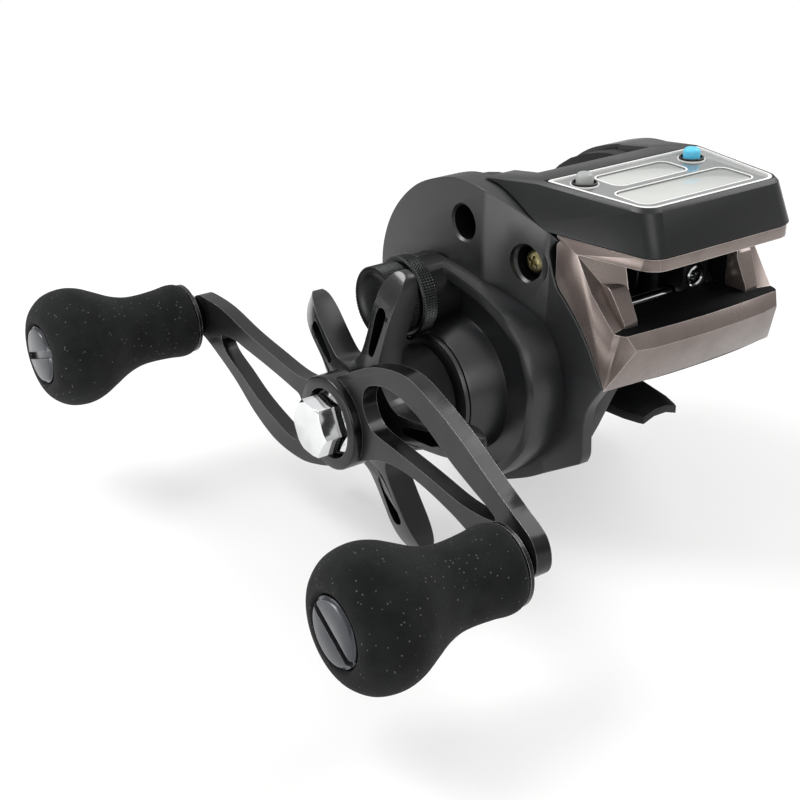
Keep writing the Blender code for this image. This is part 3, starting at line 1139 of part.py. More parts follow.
def build_knobs(looks, pivots):
    for name, side in KNOB_PLACES.items():
        x, z = knob_axis(side)
        pivot = pivots[name]
        start = -HANDLE_FACE_OUT - KNOB_START
        outer = [(start - a * KNOB_LENGTH, r * KNOB_R) for a, r in KNOB_SHARES]
        end = start - KNOB_LENGTH
        seat = KNOB_CAP_R + GAP
        bore = SPINDLE_R + GAP
        inner = [(end, seat), (end + KNOB_CAP + GAP, seat), (end + KNOB_CAP + GAP, bore), (start, bore)]
        place(f"{name}_knob_grip", turned(outer + inner, (x, 0, z), (0, 1, 0), closed=True),
              looks["foam"], pivot)
        dome = end - KNOB_CAP_DOME
        cap = place(f"{name}_knob_cap", turned([(dome, 0), (dome, KNOB_CAP_R - KNOB_CAP_DOME),
                                                (end, KNOB_CAP_R), (end + KNOB_CAP, KNOB_CAP_R),
                                                (end + KNOB_CAP, 0)], (x, 0, z), (0, 1, 0)),
                    looks["cap"], pivot)
        slot = prism(box_outline(-KNOB_R, KNOB_R, -SLOT_WIDTH / 2, SLOT_WIDTH / 2),
                     dome - OVERRUN, dome + SLOT_DEPTH)
        slot.transform(Matrix.Translation((x, 0, z)) @ Matrix.Rotation(-SLOT_TURNS[name], 4, "Y"))
        cut(cap, slot)
        near = -HANDLE_FACE_OUT - GAP
        collar = [(near, bore), (near, COLLAR_NECK_R), (start + GAP, COLLAR_R), (start + GAP, bore)]
        place(f"{name}_knob_collar", turned(collar, (x, 0, z), (0, 1, 0), closed=True),
              looks["steel"], pivot)


def star_arm(index, inner, outer):
    """One paddle of the star, from its root to its rounded tip."""
    turn = STAR_TURN + 2 * math.pi * index / STAR_ARMS
    upper = [(along * STAR_R, half * STAR_R) for along, half in STAR_ARM_SHARES]
    blade = upper + [(a, -b) for a, b in reversed(upper)]
    cos, sin = math.cos(turn), math.sin(turn)
    return prism([(DRIVE_X + a * cos - b * sin, DRIVE_Z + a * sin + b * cos) for a, b in blade],
                 inner, outer)


def round_tip(bm, index, inner, outer):
    """Cuts the front of a paddle's tip back in two bends, then bends the tip to the body."""
    turn = STAR_TURN + 2 * math.pi * index / STAR_ARMS
    for reach_share, depth_share, slope in STAR_TIP_CUT_SHARES:
        reach, depth = STAR_R * reach_share, outer + (inner - outer) * depth_share
        bmesh.ops.bisect_plane(
            bm, geom=bm.verts[:] + bm.edges[:] + bm.faces[:], dist=WELD, clear_outer=True,
            plane_co=(DRIVE_X + reach * math.cos(turn), depth, DRIVE_Z + reach * math.sin(turn)),
            plane_no=(math.cos(turn), -slope, math.sin(turn)))
        bmesh.ops.holes_fill(bm, edges=[e for e in bm.edges if e.is_boundary])
    bmesh.ops.triangulate(bm, faces=bm.faces)
    for v in bm.verts:
        reach = math.hypot(v.co.x - DRIVE_X, v.co.z - DRIVE_Z)
        v.co.y += max(reach - STAR_HUB_R, 0) * STAR_LEAN_SHARE


def build_star(looks, pivot):
    start = -BOSS_FACE_OUT - GAP
    inner, outer = -STAR_INNER_OUT, -STAR_OUTER_OUT
    hub = [(start, 0), (start, STAR_COLLAR_R), (start - 2 * GAP, STAR_COLLAR_R),
           (inner, STAR_HUB_R - STAR_RIM), (outer, STAR_HUB_R - STAR_RIM),
           (outer - GAP, SHAFT_R + STAR_RIM), (outer - GAP, 0)]
    star = place("star_drag", turned(hub, (DRIVE_X, 0, DRIVE_Z), (0, 1, 0)), looks["gloss"], pivot)
    for i in range(STAR_ARMS):
        paddle = star_arm(i, inner, outer)
        round_tip(paddle, i, inner, outer)
        add(star, paddle)
    cut(star, rod(DRIVE_X, DRIVE_Z, start + OVERRUN, outer - OVERRUN, SHAFT_R + GAP))


def build_cast_control(looks, pivot):
    face, step, seat = -CAP_FACE_OUT, -CAP_STEP_OUT, -CAP_SEAT_OUT - GAP
    cap = place("cast_control_cap", prism(ribbed_outline(SPOOL_X, SPOOL_Z, CAP_R, CAP_RIB, CAP_RIBS),
                                          face, step), looks["knurl"], pivot)
    add(cap, prism(circle(SPOOL_X, SPOOL_Z, CAP_RING_R), step - GAP, seat))
    cut(cap, turned([(face - OVERRUN, 0), (face - OVERRUN, CAP_R - CAP_WALL / 2),
                     (face, CAP_R - CAP_WALL / 2), (face + CAP_DISH, CAP_R - CAP_WALL),
                     (face + CAP_DISH, 0)], (SPOOL_X, 0, SPOOL_Z), (0, 1, 0)))
    cut(cap, rod(SPOOL_X, SPOOL_Z, -SPOOL_SHAFT_HANDLE_OUT - GAP, seat + OVERRUN,
                 SPOOL_SHAFT_R + RUN_ROOM))


def build_level_wind(looks, pivots):
    place("guide_rod", rod(RAIL_X, RAIL_Z, -POCKET_FLOOR_OUT + 2 * GAP, WALL_OUT - GAP, RAIL_R),
          looks["chrome"])
    phase_in = meshing_phase(0.0, COG_TEETH, IDLER_TEETH,
                             math.atan2(IDLER_Z - DRIVE_Z, IDLER_X - DRIVE_X))
    phase_out = meshing_phase(phase_in, IDLER_TEETH, WORM_TEETH,
                              math.atan2(WORM_Z - IDLER_Z, WORM_X - IDLER_X))
    back = -POCKET_FLOOR_OUT - GAP
    idler = place("level_wind_idler", prism(gear_outline(IDLER_X, IDLER_Z, LEVEL_MODULE, IDLER_TEETH,
                                                         phase_in), back - COG_FACE, back),
                  looks["polymer"], pivots["idler"])
    cut(idler, rod(IDLER_X, IDLER_Z, -COVER_SEAT_OUT, -WALL_IN_OUT, IDLER_PIN_R + GAP))
    gear = place("worm_gear", prism(gear_outline(WORM_X, WORM_Z, LEVEL_MODULE, WORM_TEETH, phase_out),
                                    back - COG_FACE, back), looks["polymer"], pivots["worm"])
    cut(gear, rod(WORM_X, WORM_Z, -COVER_SEAT_OUT, -WALL_IN_OUT, WORM_R + GAP / 2))
    shaft = [(-WALL_OUT + GAP, 0), (-WALL_OUT + GAP, WORM_R)]
    pitch = 2 * WALL_IN_OUT / WORM_GROOVES
    for i in range(WORM_GROOVES):
        y = -WALL_IN_OUT + pitch * i
        shaft += [(y + pitch * 0.2, WORM_R), (y + pitch * 0.4, WORM_R - WORM_GROOVE),
                  (y + pitch * 0.6, WORM_R - WORM_GROOVE), (y + pitch * 0.8, WORM_R)]
    shaft += [(WALL_OUT - GAP, WORM_R), (WALL_OUT - GAP, 0)]
    place("worm_shaft", turned(shaft, (WORM_X, 0, WORM_Z), (0, 1, 0), SMALL_STEPS),
          looks["steel"], pivots["worm"])
    build_line_guide(looks, pivots["guide"])


def build_line_guide(looks, pivot):
    near, far = GUIDE_REST - GUIDE_OUT, GUIDE_REST + GUIDE_OUT
    block = place("line_guide", prism(box_outline(RAIL_X - GUIDE_DEPTH / 2, RAIL_X + GUIDE_DEPTH / 2,
                                                  WORM_Z - GUIDE_BELOW, RAIL_Z + GUIDE_ABOVE),
                                      near, far), looks["polymer"], pivot)
    cut(block, rod(WORM_X, WORM_Z, near - OVERRUN, far + OVERRUN, WORM_R + RUN_ROOM))
    cut(block, rod(RAIL_X, RAIL_Z, near - OVERRUN, far + OVERRUN, RAIL_R + RUN_ROOM))
    bore = turned([(-GUIDE_DEPTH, 0), (-GUIDE_DEPTH, EYE_R + GAP), (GUIDE_DEPTH, EYE_R + GAP),
                   (GUIDE_DEPTH, 0)], (RAIL_X, GUIDE_REST, EYE_Z), (1, 0, 0), SMALL_STEPS)
    cut(block, bore)
    half, lip = GUIDE_DEPTH / 2, EYE_R - EYE_WALL
    eye = turned([(-half, lip), (-half, EYE_R), (half, EYE_R), (half, lip)],
                 (RAIL_X, GUIDE_REST, EYE_Z), (1, 0, 0), SMALL_STEPS, closed=True)
    place("line_guide_ring", eye, looks["chrome"], pivot)


def build_thumb_bar(looks, pivot):
    inner = SPOOL_R * THUMB_R_SHARE
    bar = prism(ring_sector(SPOOL_X, SPOOL_Z, inner, inner + THUMB, THUMB_FRONT, THUMB_REAR,
                            SMALL_STEPS), -THUMB_OUT, THUMB_OUT)
    thumb = place("thumb_bar", bar, looks["housing"], pivot)
    add(thumb, prism(ring_sector(SPOOL_X, SPOOL_Z, inner + THUMB / 2, inner + THUMB + THUMB_LIP,
                                 THUMB_REAR - THUMB_LIP_SPAN, THUMB_REAR, 2),
                     -THUMB_OUT, THUMB_OUT))


def build_all():
    empty_scene()
    looks = {
        "frame": material("frame aluminium black", (0.035, 0.037, 0.038), 0.5, 0.6),
        "cover": material("cover graphite black", (0.045, 0.047, 0.048), 0.55, 0.2),
        "bronze": material("nose metallic rose grey", (0.3, 0.24, 0.22), 0.35, 0.85),
        "housing": material("housing satin black", (0.022, 0.023, 0.025), 0.4),
        "panel": material("panel glossy grey", (0.28, 0.28, 0.29), 0.12, 0.0, 0.5),
        "rim": material("rim bright", (0.75, 0.75, 0.76), 0.2, 0.6),
        "lcd": material("lcd glass pale", (0.55, 0.57, 0.57), 0.08),
        "grey_button": material("button grey rubber", (0.25, 0.26, 0.27), 0.5),
        "blue_button": material("button blue rubber", (0.12, 0.5, 0.75), 0.4),
        "polymer": material("moulded black polymer", (0.02, 0.02, 0.02), 0.45),
        "board": material("circuit board green", (0.02, 0.15, 0.06), 0.5),
        "steel": material("stainless steel", (0.6, 0.6, 0.6), 0.3, 1.0),
        "brass": material("brass", (0.6, 0.45, 0.18), 0.3, 1.0),
        "chrome": material("chrome", (0.8, 0.8, 0.82), 0.08, 1.0),
        "spool": material("spool anodised black", (0.05, 0.05, 0.055), 0.3, 0.9),
        "arm": material("arm gunmetal", (0.1, 0.095, 0.097), 0.3, 0.9),
        "gloss": material("star gloss black", (0.015, 0.016, 0.017), 0.15, 0.3, 0.6),
        "knurl": material("knurled black aluminium", (0.03, 0.03, 0.032), 0.35, 0.7),
        "foam": material("foam black", (0.013, 0.014, 0.014), 0.9),
        "cap": material("cap dark metal", (0.1, 0.1, 0.105), 0.2, 0.9),
        "dial": material("dial satin black", (0.025, 0.025, 0.027), 0.4),
    }
    drive = axis_empty("handle_axis", DRIVE_X, 0, DRIVE_Z)
    star = axis_empty("star_axis", DRIVE_X, 0, DRIVE_Z)
    spool = axis_empty("spool_axis", SPOOL_X, 0, SPOOL_Z)
    cap = axis_empty("cast_control_axis", SPOOL_X, 0, SPOOL_Z)
    dial = axis_empty("brake_dial_axis", SPOOL_X, 0, SPOOL_Z)
    thumb = axis_empty("thumb_bar_slide", SPOOL_X, 0, SPOOL_Z)
    knobs = {name: axis_empty(f"{name}_knob_axis", knob_axis(side)[0], -HANDLE_FACE_OUT,
                              knob_axis(side)[1]) for name, side in KNOB_PLACES.items()}
    level = {"idler": axis_empty("idler_axis", IDLER_X, 0, IDLER_Z),
             "worm": axis_empty("worm_axis", WORM_X, 0, WORM_Z),
             "guide": axis_empty("guide_slide", RAIL_X, GUIDE_REST, RAIL_Z)}
    top = DRIVE_Z + DISPLAY_TOP
    buttons = {name: axis_empty(f"{name}_slide", DRIVE_X + BUTTON_X, y, top)
               for name, y in BUTTON_PLACES.items()}
    bpy.context.view_layer.update()
    build_frame(looks)
    build_foot(looks)
    build_handle_side_cover(looks)
    build_palm_side_cover(looks)
    build_front_cover(looks)
    build_display(looks, buttons)
    build_screws(looks)
    build_bearings(looks)
    build_spool(looks, spool)
    build_brake(looks, spool, dial)
    build_drive(looks, drive)
    build_handle(looks, drive)
    build_knobs(looks, knobs)
    build_star(looks, star)
    build_cast_control(looks, cap)
    build_level_wind(looks, level)
    build_thumb_bar(looks, thumb)


build_all()
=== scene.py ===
import json
import math

import bmesh
import bpy
from mathutils import Matrix, Vector
from mathutils.geometry import intersect_line_line_2d


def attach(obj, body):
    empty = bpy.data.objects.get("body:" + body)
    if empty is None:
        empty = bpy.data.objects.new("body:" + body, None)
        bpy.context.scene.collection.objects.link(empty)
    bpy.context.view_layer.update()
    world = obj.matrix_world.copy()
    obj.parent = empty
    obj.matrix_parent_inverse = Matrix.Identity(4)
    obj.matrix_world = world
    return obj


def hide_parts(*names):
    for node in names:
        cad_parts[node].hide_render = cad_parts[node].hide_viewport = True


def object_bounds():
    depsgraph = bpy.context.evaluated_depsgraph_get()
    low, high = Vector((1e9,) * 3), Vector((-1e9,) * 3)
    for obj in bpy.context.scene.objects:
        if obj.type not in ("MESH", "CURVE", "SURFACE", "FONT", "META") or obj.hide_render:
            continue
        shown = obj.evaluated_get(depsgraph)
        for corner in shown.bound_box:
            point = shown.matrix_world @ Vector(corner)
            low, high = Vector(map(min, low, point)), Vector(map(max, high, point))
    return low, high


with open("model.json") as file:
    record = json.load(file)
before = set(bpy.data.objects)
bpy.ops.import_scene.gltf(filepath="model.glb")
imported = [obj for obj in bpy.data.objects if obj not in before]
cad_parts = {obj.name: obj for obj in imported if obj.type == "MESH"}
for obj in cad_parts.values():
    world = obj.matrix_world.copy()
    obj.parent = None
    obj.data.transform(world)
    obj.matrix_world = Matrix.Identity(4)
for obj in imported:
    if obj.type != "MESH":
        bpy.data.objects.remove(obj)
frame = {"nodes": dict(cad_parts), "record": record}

CAD_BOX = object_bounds()
NODES = frame["nodes"]
BODY_OF = {node: body for body, members in frame["record"]["behaviour"]["bodies"].items()
           for node in members}
MM = 0.001

# Shapes, in millimetres and in shares, in the reel's own frame: +X forward, +Y palm side, +Z up
DRIVE = (2.0, 3.5)
SPOOL = (-6.098, 20.178)
COVER_REACH = 40.0
FLAT_REAR_SHARES = [(-0.225, -0.45), (0.225, -0.45)]
BELLY_SHARES = [(0.225, -0.45), (0.375, -0.385), (0.5, -0.31), (0.585, -0.258)]
TAB_SHARES = [(0.585, -0.258), (0.708, -0.182)]
THROAT_SHARES = [(0.708, -0.182), (0.728, -0.135), (0.727, -0.06), (0.73, 0.03), (0.752, 0.115),
                 (0.833, 0.235)]
PALM_BELLY_SHARES = [(-0.2, -0.325), (0.0, -0.3), (0.125, -0.2425), (0.35, -0.1075), (0.6, 0.055),
                     (0.775, 0.18), (0.833, 0.235)]
JOINT_SHARES = [(0.833, 0.235), (0.798, 0.285), (0.745, 0.372), (0.665, 0.472), (0.573, 0.557),
                (0.51, 0.608), (0.47, 0.698), (0.46, 0.765), (0.508, 0.82)]
CROWN_SHARES = [(0.508, 0.82), (0.375, 0.875), (0.233, 0.93), (0.1, 0.967), (-0.05, 0.975),
                (-0.2, 0.95), (-0.4, 0.868), (-0.563, 0.73), (-0.665, 0.563), (-0.7, 0.375),
                (-0.66, 0.112), (-0.55, -0.138)]
HANDLE_TAIL_SHARES = [(-0.4, -0.335), (-0.225, -0.45)]
PALM_TAIL_SHARES = [(-0.4, -0.2875), (-0.2, -0.325)]
PALM_CROWN_SHARES = [(0.508, 0.82), (0.375, 0.862), (0.233, 0.905), (0.1, 0.938), (-0.05, 0.945),
                     (-0.2, 0.925), (-0.4, 0.852), (-0.563, 0.725), (-0.665, 0.563),
                     (-0.7, 0.375), (-0.66, 0.112), (-0.55, -0.138)]
CASE_SHARES = [(-0.49, 0.385), (-0.438, 0.49), (-0.325, 0.556), (-0.175, 0.566), (0.0, 0.55),
               (0.2, 0.51), (0.375, 0.44), (0.5, 0.34), (0.56, 0.208), (0.57, 0.062),
               (0.53, -0.115), (0.445, -0.24), (0.338, -0.345), (0.2, -0.42), (0.0, -0.438),
               (-0.2, -0.4), (-0.35, -0.263), (-0.463, -0.05), (-0.505, 0.175)]
WELL_SHARES = [(-0.035, 0.775), (0.345, 0.675)]
HANDLE_THROW = 52.0
ARM_TOP_SHARES = [(-1.06, 0.085), (-1.0, 0.15), (-0.93, 0.165), (-0.78, 0.16), (-0.6, 0.125),
                  (-0.42, 0.102), (-0.24, 0.085), (-0.1, 0.11), (0.03, 0.18), (0.18, 0.262),
                  (0.3, 0.306), (0.44, 0.32), (0.58, 0.275), (0.7, 0.222), (0.83, 0.15),
                  (0.96, 0.08), (1.06, 0.022)]
ARM_FOOT_SHARES = [(1.085, -0.06), (1.045, -0.115), (0.96, -0.128), (0.8, -0.1), (0.66, -0.06),
                   (0.5, -0.03), (0.36, -0.026), (0.25, -0.05), (0.14, -0.1), (0.0, -0.175),
                   (-0.12, -0.222), (-0.25, -0.252), (-0.42, -0.245), (-0.57, -0.19),
                   (-0.72, -0.1), (-0.9, -0.02), (-1.02, 0.02)]
REAR_WINDOW_SHARES = [(-0.8, 0.05), (-0.703, 0.065), (-0.617, 0.057), (-0.452, 0.042),
                      (-0.293, 0.022), (-0.232, 0.006), (-0.212, -0.06), (-0.225, -0.14),
                      (-0.285, -0.188), (-0.421, -0.16), (-0.551, -0.118), (-0.665, -0.063),
                      (-0.775, -0.01)]
FRONT_WINDOW_SHARES = [(0.196, 0.198), (0.276, 0.234), (0.354, 0.241), (0.455, 0.22),
                       (0.552, 0.179), (0.659, 0.12), (0.775, 0.071), (0.877, 0.03), (0.868, 0.005),
                       (0.719, -0.006), (0.539, 0.016), (0.35, 0.036), (0.222, 0.055),
                       (0.172, 0.13)]
KNOB_R = 11.45
KNOB_LENGTH = 30.6
KNOB_SHARES = [(0.0, 0.6), (0.02, 0.635), (0.07, 0.645), (0.15, 0.618), (0.28, 0.6), (0.38, 0.62),
               (0.48, 0.7), (0.58, 0.83), (0.67, 0.945), (0.75, 1.0), (0.83, 0.995), (0.9, 0.94),
               (0.96, 0.82), (0.99, 0.7), (1.0, 0.58)]
STAR_R = 28.6
DRIVE_AXIS = (DRIVE[0], 0, DRIVE[1])
SPOOL_AXIS = (SPOOL[0], 0, SPOOL[1])

# the side covers across the reel: inner edge, flat outer faces, outer face at the nose, and where
# along the reel the outer faces bend in; the mesh within TAPER_FROM stays straight
COVER_IN = 18.5
HANDLE_FACE = 24.3
PALM_FACE = 26.0
NOSE_OUT = 20.6
TAPER_FROM = 18.8
BENDS = (6.0, 20.4)

# the handle's slope at rest, the slots of the knobs' caps and the star's first paddle
TILT = math.radians(-3.95)
SLOT_TURNS = {"rear": math.radians(20), "front": math.radians(-33)}
KNOB_AXES = {name: (DRIVE[0] + side * HANDLE_THROW * math.cos(TILT),
                    DRIVE[1] + side * HANDLE_THROW * math.sin(TILT))
             for name, side in (("rear", -1), ("front", 1))}
STAR_TURN = math.radians(5.7)
PADDLE_TURNS = [STAR_TURN + 2 * math.pi * i / 5 for i in range(5)]
# the star is swept inwards beyond this radius, by this share of the distance
STAR_SWEEP_FROM = 10.2
STAR_SWEEP = 0.15

# on the display's plan: each glass by its middle and half lengths, each button by its middle
LCDS = {"depth_lcd": (31.8, -0.4, 3.95, 13.0), "mode_lcd": (22.2, -1.5, 3.3, 8.4)}
BUTTONS = {"grey_button": (21.1, -13.8, "grey_rubber"), "blue_button": (21.1, 11.9, "blue_rubber")}

# CAD nodes that are shown as they are
KEPT_NODES = {
    "polymer": "display_base level_wind_cog drag_washer brake_rotor worm_gear level_wind_idler",
    "board": "circuit_board spool_sensor",
    "brass": "brake_drum drive_gear pinion_gear",
    "steel": "coin_cell foot_rivet_front foot_rivet_rear spool_bearing_handle spool_bearing_palm "
             "drive_shaft_bearing anti_reverse_bearing drive_shaft drive_sleeve pressure_washer "
             "rear_knob_spindle front_knob_spindle spool_shaft sensor_magnet worm_shaft",
}

# lamps in metres and watts: place, size and power
LAMPS = {"key": ((-0.4, -0.4, 0.75), 0.5, 5.6), "fill": ((0.7, -0.35, 0.4), 0.5, 2.0),
         "back": ((0.1, 0.6, 0.6), 0.6, 4.2), "low": ((-0.015, -0.16, 0.012), 0.05, 0.03)}
LAMP_AIM = (0, -0.03, 0.01)
# the photo's view: place in metres, azimuth, elevation and roll in degrees, and lens
CAMERA_PLACE = (0.2073, -0.1829, 0.1218)
CAMERA_TURNS = (55.122, 25.27, -0.632)
CAMERA_LENS = 67.407


def share_point(share, reach=COVER_REACH):
    return (DRIVE[0] + share[0] * reach, DRIVE[1] + share[1] * reach)


def curve_through(points, steps, closed=False):
    """Points of a smooth curve that passes through all the given points."""
    count = len(points)
    result = []
    for i in range(count if closed else count - 1):
        if closed:
            p = [points[(i + k) % count] for k in (-1, 0, 1, 2)]
        else:
            p = [points[min(max(i + k, 0), count - 1)] for k in (-1, 0, 1, 2)]
        for step in range(steps):
            t = step / steps
            result.append(tuple(
                (2 * p[1][a] + (p[2][a] - p[0][a]) * t
                 + (2 * p[0][a] - 5 * p[1][a] + 4 * p[2][a] - p[3][a]) * t * t
                 + (3 * p[1][a] - p[0][a] - 3 * p[2][a] + p[3][a]) * t * t * t) / 2 for a in (0, 1)))
    if not closed:
        result.append(tuple(points[-1]))
    return result


def side_outline(under, crown, steps):
    """The runs below, the joint with the nose and the crown, as one closed outline."""
    outline = []
    for run in under + [JOINT_SHARES, crown]:
        outline += curve_through([share_point(s) for s in run], 1 if len(run) == 2 else steps)[:-1]
    return outline


def handle_side_outline(steps=6):
    return side_outline([FLAT_REAR_SHARES, BELLY_SHARES, TAB_SHARES, THROAT_SHARES],
                        CROWN_SHARES + HANDLE_TAIL_SHARES, steps)


def palm_side_outline(steps=6):
    return side_outline([PALM_BELLY_SHARES], PALM_CROWN_SHARES + PALM_TAIL_SHARES, steps)


def offset_outline(outline, distance):
    """The closed outline moved outwards, or inwards where distance is negative, without its loops."""
    count = len(outline)
    area = sum(outline[i - 1][0] * outline[i][1] - outline[i][0] * outline[i - 1][1]
               for i in range(count))
    turn = 1 if area > 0 else -1
    points = []
    for i in range(count):
        here = Vector(outline[i])
        before = (here - Vector(outline[i - 1])).normalized()
        after = (Vector(outline[(i + 1) % count]) - here).normalized()
        normals = [Vector((d.y, -d.x)) * turn for d in (before, after)]
        middle = (normals[0] + normals[1]).normalized()
        points.append(tuple(here + middle * (distance / max(middle.dot(normals[0]), 0.5))))
    i = 0
    while i < len(points):
        count = len(points)
        for skip in range(2, 9):
            ends = [points[(i + k) % count] for k in (0, 1, skip, skip + 1)]
            crossing = intersect_line_line_2d(*ends)
            if crossing is not None:
                rest = [points[(i + skip + 1 + k) % count] for k in range(count - skip)]
                points = [tuple(crossing)] + rest
                i = -1
                break
        i += 1
    return points


def circle(x, z, radius, steps=96, turn=0.0):
    return [(x + radius * math.cos(turn + 2 * math.pi * i / steps),
             z + radius * math.sin(turn + 2 * math.pi * i / steps)) for i in range(steps)]


# -------- modelling, by Blender's own tools

def edit_on(piece):
    bpy.ops.object.select_all(action="DESELECT")
    bpy.context.view_layer.objects.active = piece
    piece.select_set(True)
    bpy.ops.object.mode_set(mode="EDIT")
    bpy.ops.mesh.select_all(action="SELECT")


def edit_off():
    bpy.ops.object.mode_set(mode="OBJECT")


def pick_edges(piece, test):
    """In edit mode, selects the edges whose two ends pass a test in millimetres."""
    bpy.ops.mesh.select_mode(type="EDGE")
    bpy.ops.mesh.select_all(action="DESELECT")
    mesh = bmesh.from_edit_mesh(piece.data)
    for edge in mesh.edges:
        if all(test(v.co / MM) for v in edge.verts):
            edge.select_set(True)
    mesh.select_flush_mode()
    bmesh.update_edit_mesh(piece.data)


def ring_of_points(name, points, fill="NOTHING"):
    """A primitive circle with its points moved to the given places, in millimetres."""
    bpy.ops.object.select_all(action="DESELECT")
    bpy.ops.mesh.primitive_circle_add(vertices=len(points), fill_type=fill)
    piece = bpy.context.object
    piece.name = name
    for vertex, place in zip(piece.data.vertices, points):
        vertex.co = Vector(place) * MM
    return piece


def pushed_out(name, corners, push, rim, far, segments):
    """A flat blank pushed out by a vector, with the edge that passes the far test rounded over."""
    piece = ring_of_points(name, corners, "NGON")
    edit_on(piece)
    bpy.ops.mesh.extrude_region_move(TRANSFORM_OT_translate={"value": push})
    bpy.ops.mesh.select_all(action="SELECT")
    bpy.ops.mesh.normals_make_consistent(inside=False)
    if rim:
        pick_edges(piece, far)
        bpy.ops.mesh.bevel(offset=rim * MM, segments=segments, profile=0.5, affect="EDGES",
                           clamp_overlap=True)
    edit_off()
    return piece


def plate(name, outline, y0, y1, rim=0.0, segments=3):
    """A blank cut to a side outline, from y0 to y1."""
    return pushed_out(name, [(x, y0, z) for x, z in outline], (0, (y1 - y0) * MM, 0), rim,
                      lambda corner: abs(corner.y - y1) < 0.001, segments)


def slab(name, outline, z0, z1, rim=0.0, segments=3):
    """A blank cut to a plan outline, from z0 to z1."""
    return pushed_out(name, [(x, y, z0) for x, y in outline], (0, 0, (z1 - z0) * MM), rim,
                      lambda corner: abs(corner.z - z1) < 0.001, segments)


def turned(name, profile, centre, axis="Y", steps=96):
    """A piece turned on a lathe from (along, radius) points; centre is a place on its axis."""
    cx, cy, cz = centre
    if axis == "Y":
        places, direction = [(cx, cy + a, cz + r) for a, r in profile], (0, 1, 0)
    elif axis == "Z":
        places, direction = [(cx + r, cy, cz + a) for a, r in profile], (0, 0, 1)
    else:
        places, direction = [(cx + a, cy, cz + r) for a, r in profile], (1, 0, 0)
    piece = ring_of_points(name, places)
    edit_on(piece)
    bpy.ops.mesh.spin(steps=steps, angle=2 * math.pi, center=Vector(centre) * MM, axis=direction)
    bpy.ops.mesh.select_all(action="SELECT")
    bpy.ops.mesh.remove_doubles(threshold=0.00001)
    bpy.ops.mesh.dissolve_degenerate(threshold=0.000002)
    bpy.ops.mesh.normals_make_consistent(inside=False)
    edit_off()
    return piece


def apply_step(piece, step):
    bpy.ops.object.select_all(action="DESELECT")
    bpy.context.view_layer.objects.active = piece
    piece.select_set(True)
    bpy.ops.object.modifier_apply(modifier=step.name)


def carve(piece, tool, how="DIFFERENCE"):
    """Cuts a tool out of a piece, or joins it on, and clears the tool away."""
    step = piece.modifiers.new("carve", "BOOLEAN")
    step.operation = how
    step.solver = "EXACT"
    step.object = tool
    apply_step(piece, step)
    bpy.data.objects.remove(tool)


def join(piece, tool):
    carve(piece, tool, "UNION")


def soften(piece, width, segments=2, angle=30):
    """Rounds the edges sharper than an angle, so that they catch the light."""
    step = piece.modifiers.new("soften", "BEVEL")
    step.width = width * MM
    step.segments = segments
    step.limit_method = "ANGLE"
    step.angle_limit = math.radians(angle)
    step.miter_outer = "MITER_ARC"
    step.harden_normals = False
    apply_step(piece, step)


def turn_about(piece, angle, centre):
    """Turns the mesh itself about Y, so that the object stays unturned at the origin."""
    spin = Matrix.Rotation(angle, 4, "Y")
    middle = Vector(centre) * MM
    piece.data.transform(Matrix.Translation(middle) @ spin @ Matrix.Translation(-middle))
    return piece


def two_looks(piece, main, other, test, whole=True):
    """Gives a face the other look where all its corners, or only its middle, pass a test."""
    piece.data.materials.clear()
    for look in (main, other):
        piece.data.materials.append(LOOKS[look])
    for face in piece.data.polygons:
        places = [piece.data.vertices[i].co for i in face.vertices] if whole else [face.center]
        face.material_index = 1 if all(test(place / MM, face.normal) for place in places) else 0


def settle(piece, look, nodes=(), body=None, smooth=32):
    """Gives a finished piece its material and its body, and hides the CAD nodes that it stands for."""
    piece.data.transform(piece.matrix_world)
    piece.matrix_world = Matrix.Identity(4)
    if not piece.data.materials:
        piece.data.materials.append(LOOKS[look])
    bpy.ops.object.select_all(action="DESELECT")
    bpy.context.view_layer.objects.active = piece
    piece.select_set(True)
    bpy.ops.object.shade_smooth_by_angle(angle=math.radians(smooth))
    nodes = [nodes] if isinstance(nodes, str) else list(nodes)
    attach(piece, body or BODY_OF[nodes[0]])
    if nodes:
        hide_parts(*nodes)


def dressed(node, look, width, segments=2, smooth=32, angle=30):
    """A piece made over a CAD node's own form, merged, cleaned and with its edges rounded."""
    piece = bpy.data.objects.new(f"{node}_finished", NODES[node].data.copy())
    bpy.context.scene.collection.objects.link(piece)
    piece.data.materials.clear()
    edit_on(piece)
    bpy.ops.mesh.remove_doubles(threshold=0.000002)
    bpy.ops.mesh.dissolve_limited(angle_limit=math.radians(0.6))
    bpy.ops.mesh.customdata_custom_splitnormals_clear()
    edit_off()
    soften(piece, width, segments, angle)
    settle(piece, look, node, smooth=smooth)
    return piece


# -------- materials

def linear(code):
    """The linear colour of an sRGB hex value."""
    parts = [int(code[i:i + 2], 16) / 255 for i in (1, 3, 5)]
    return tuple(c / 12.92 if c <= 0.04045 else ((c + 0.055) / 1.055) ** 2.4 for c in parts) + (1.0,)


def add_node(tree, kind, settings=(), links=()):
    """Adds a node, with its settings, and with each input set to a value or linked to an output."""
    made = tree.nodes.new("ShaderNode" + kind)
    for name, value in dict(settings).items():
        setattr(made, name, value)
    for socket, value in dict(links).items():
        if isinstance(value, bpy.types.NodeSocket):
            tree.links.new(value, made.inputs[socket])
        else:
            made.inputs[socket].default_value = value
    return made


def blank(name, roughness, metallic=0.0, **sockets):
    """A new material; an underline in a socket's name stands for a space."""
    look = bpy.data.materials.new(name)
    look.use_nodes = True
    shader = look.node_tree.nodes["Principled BSDF"]
    shader.inputs["Roughness"].default_value = roughness
    shader.inputs["Metallic"].default_value = metallic
    for socket, value in sockets.items():
        shader.inputs[socket.replace("_", " ")].default_value = value
    return look, look.node_tree, shader


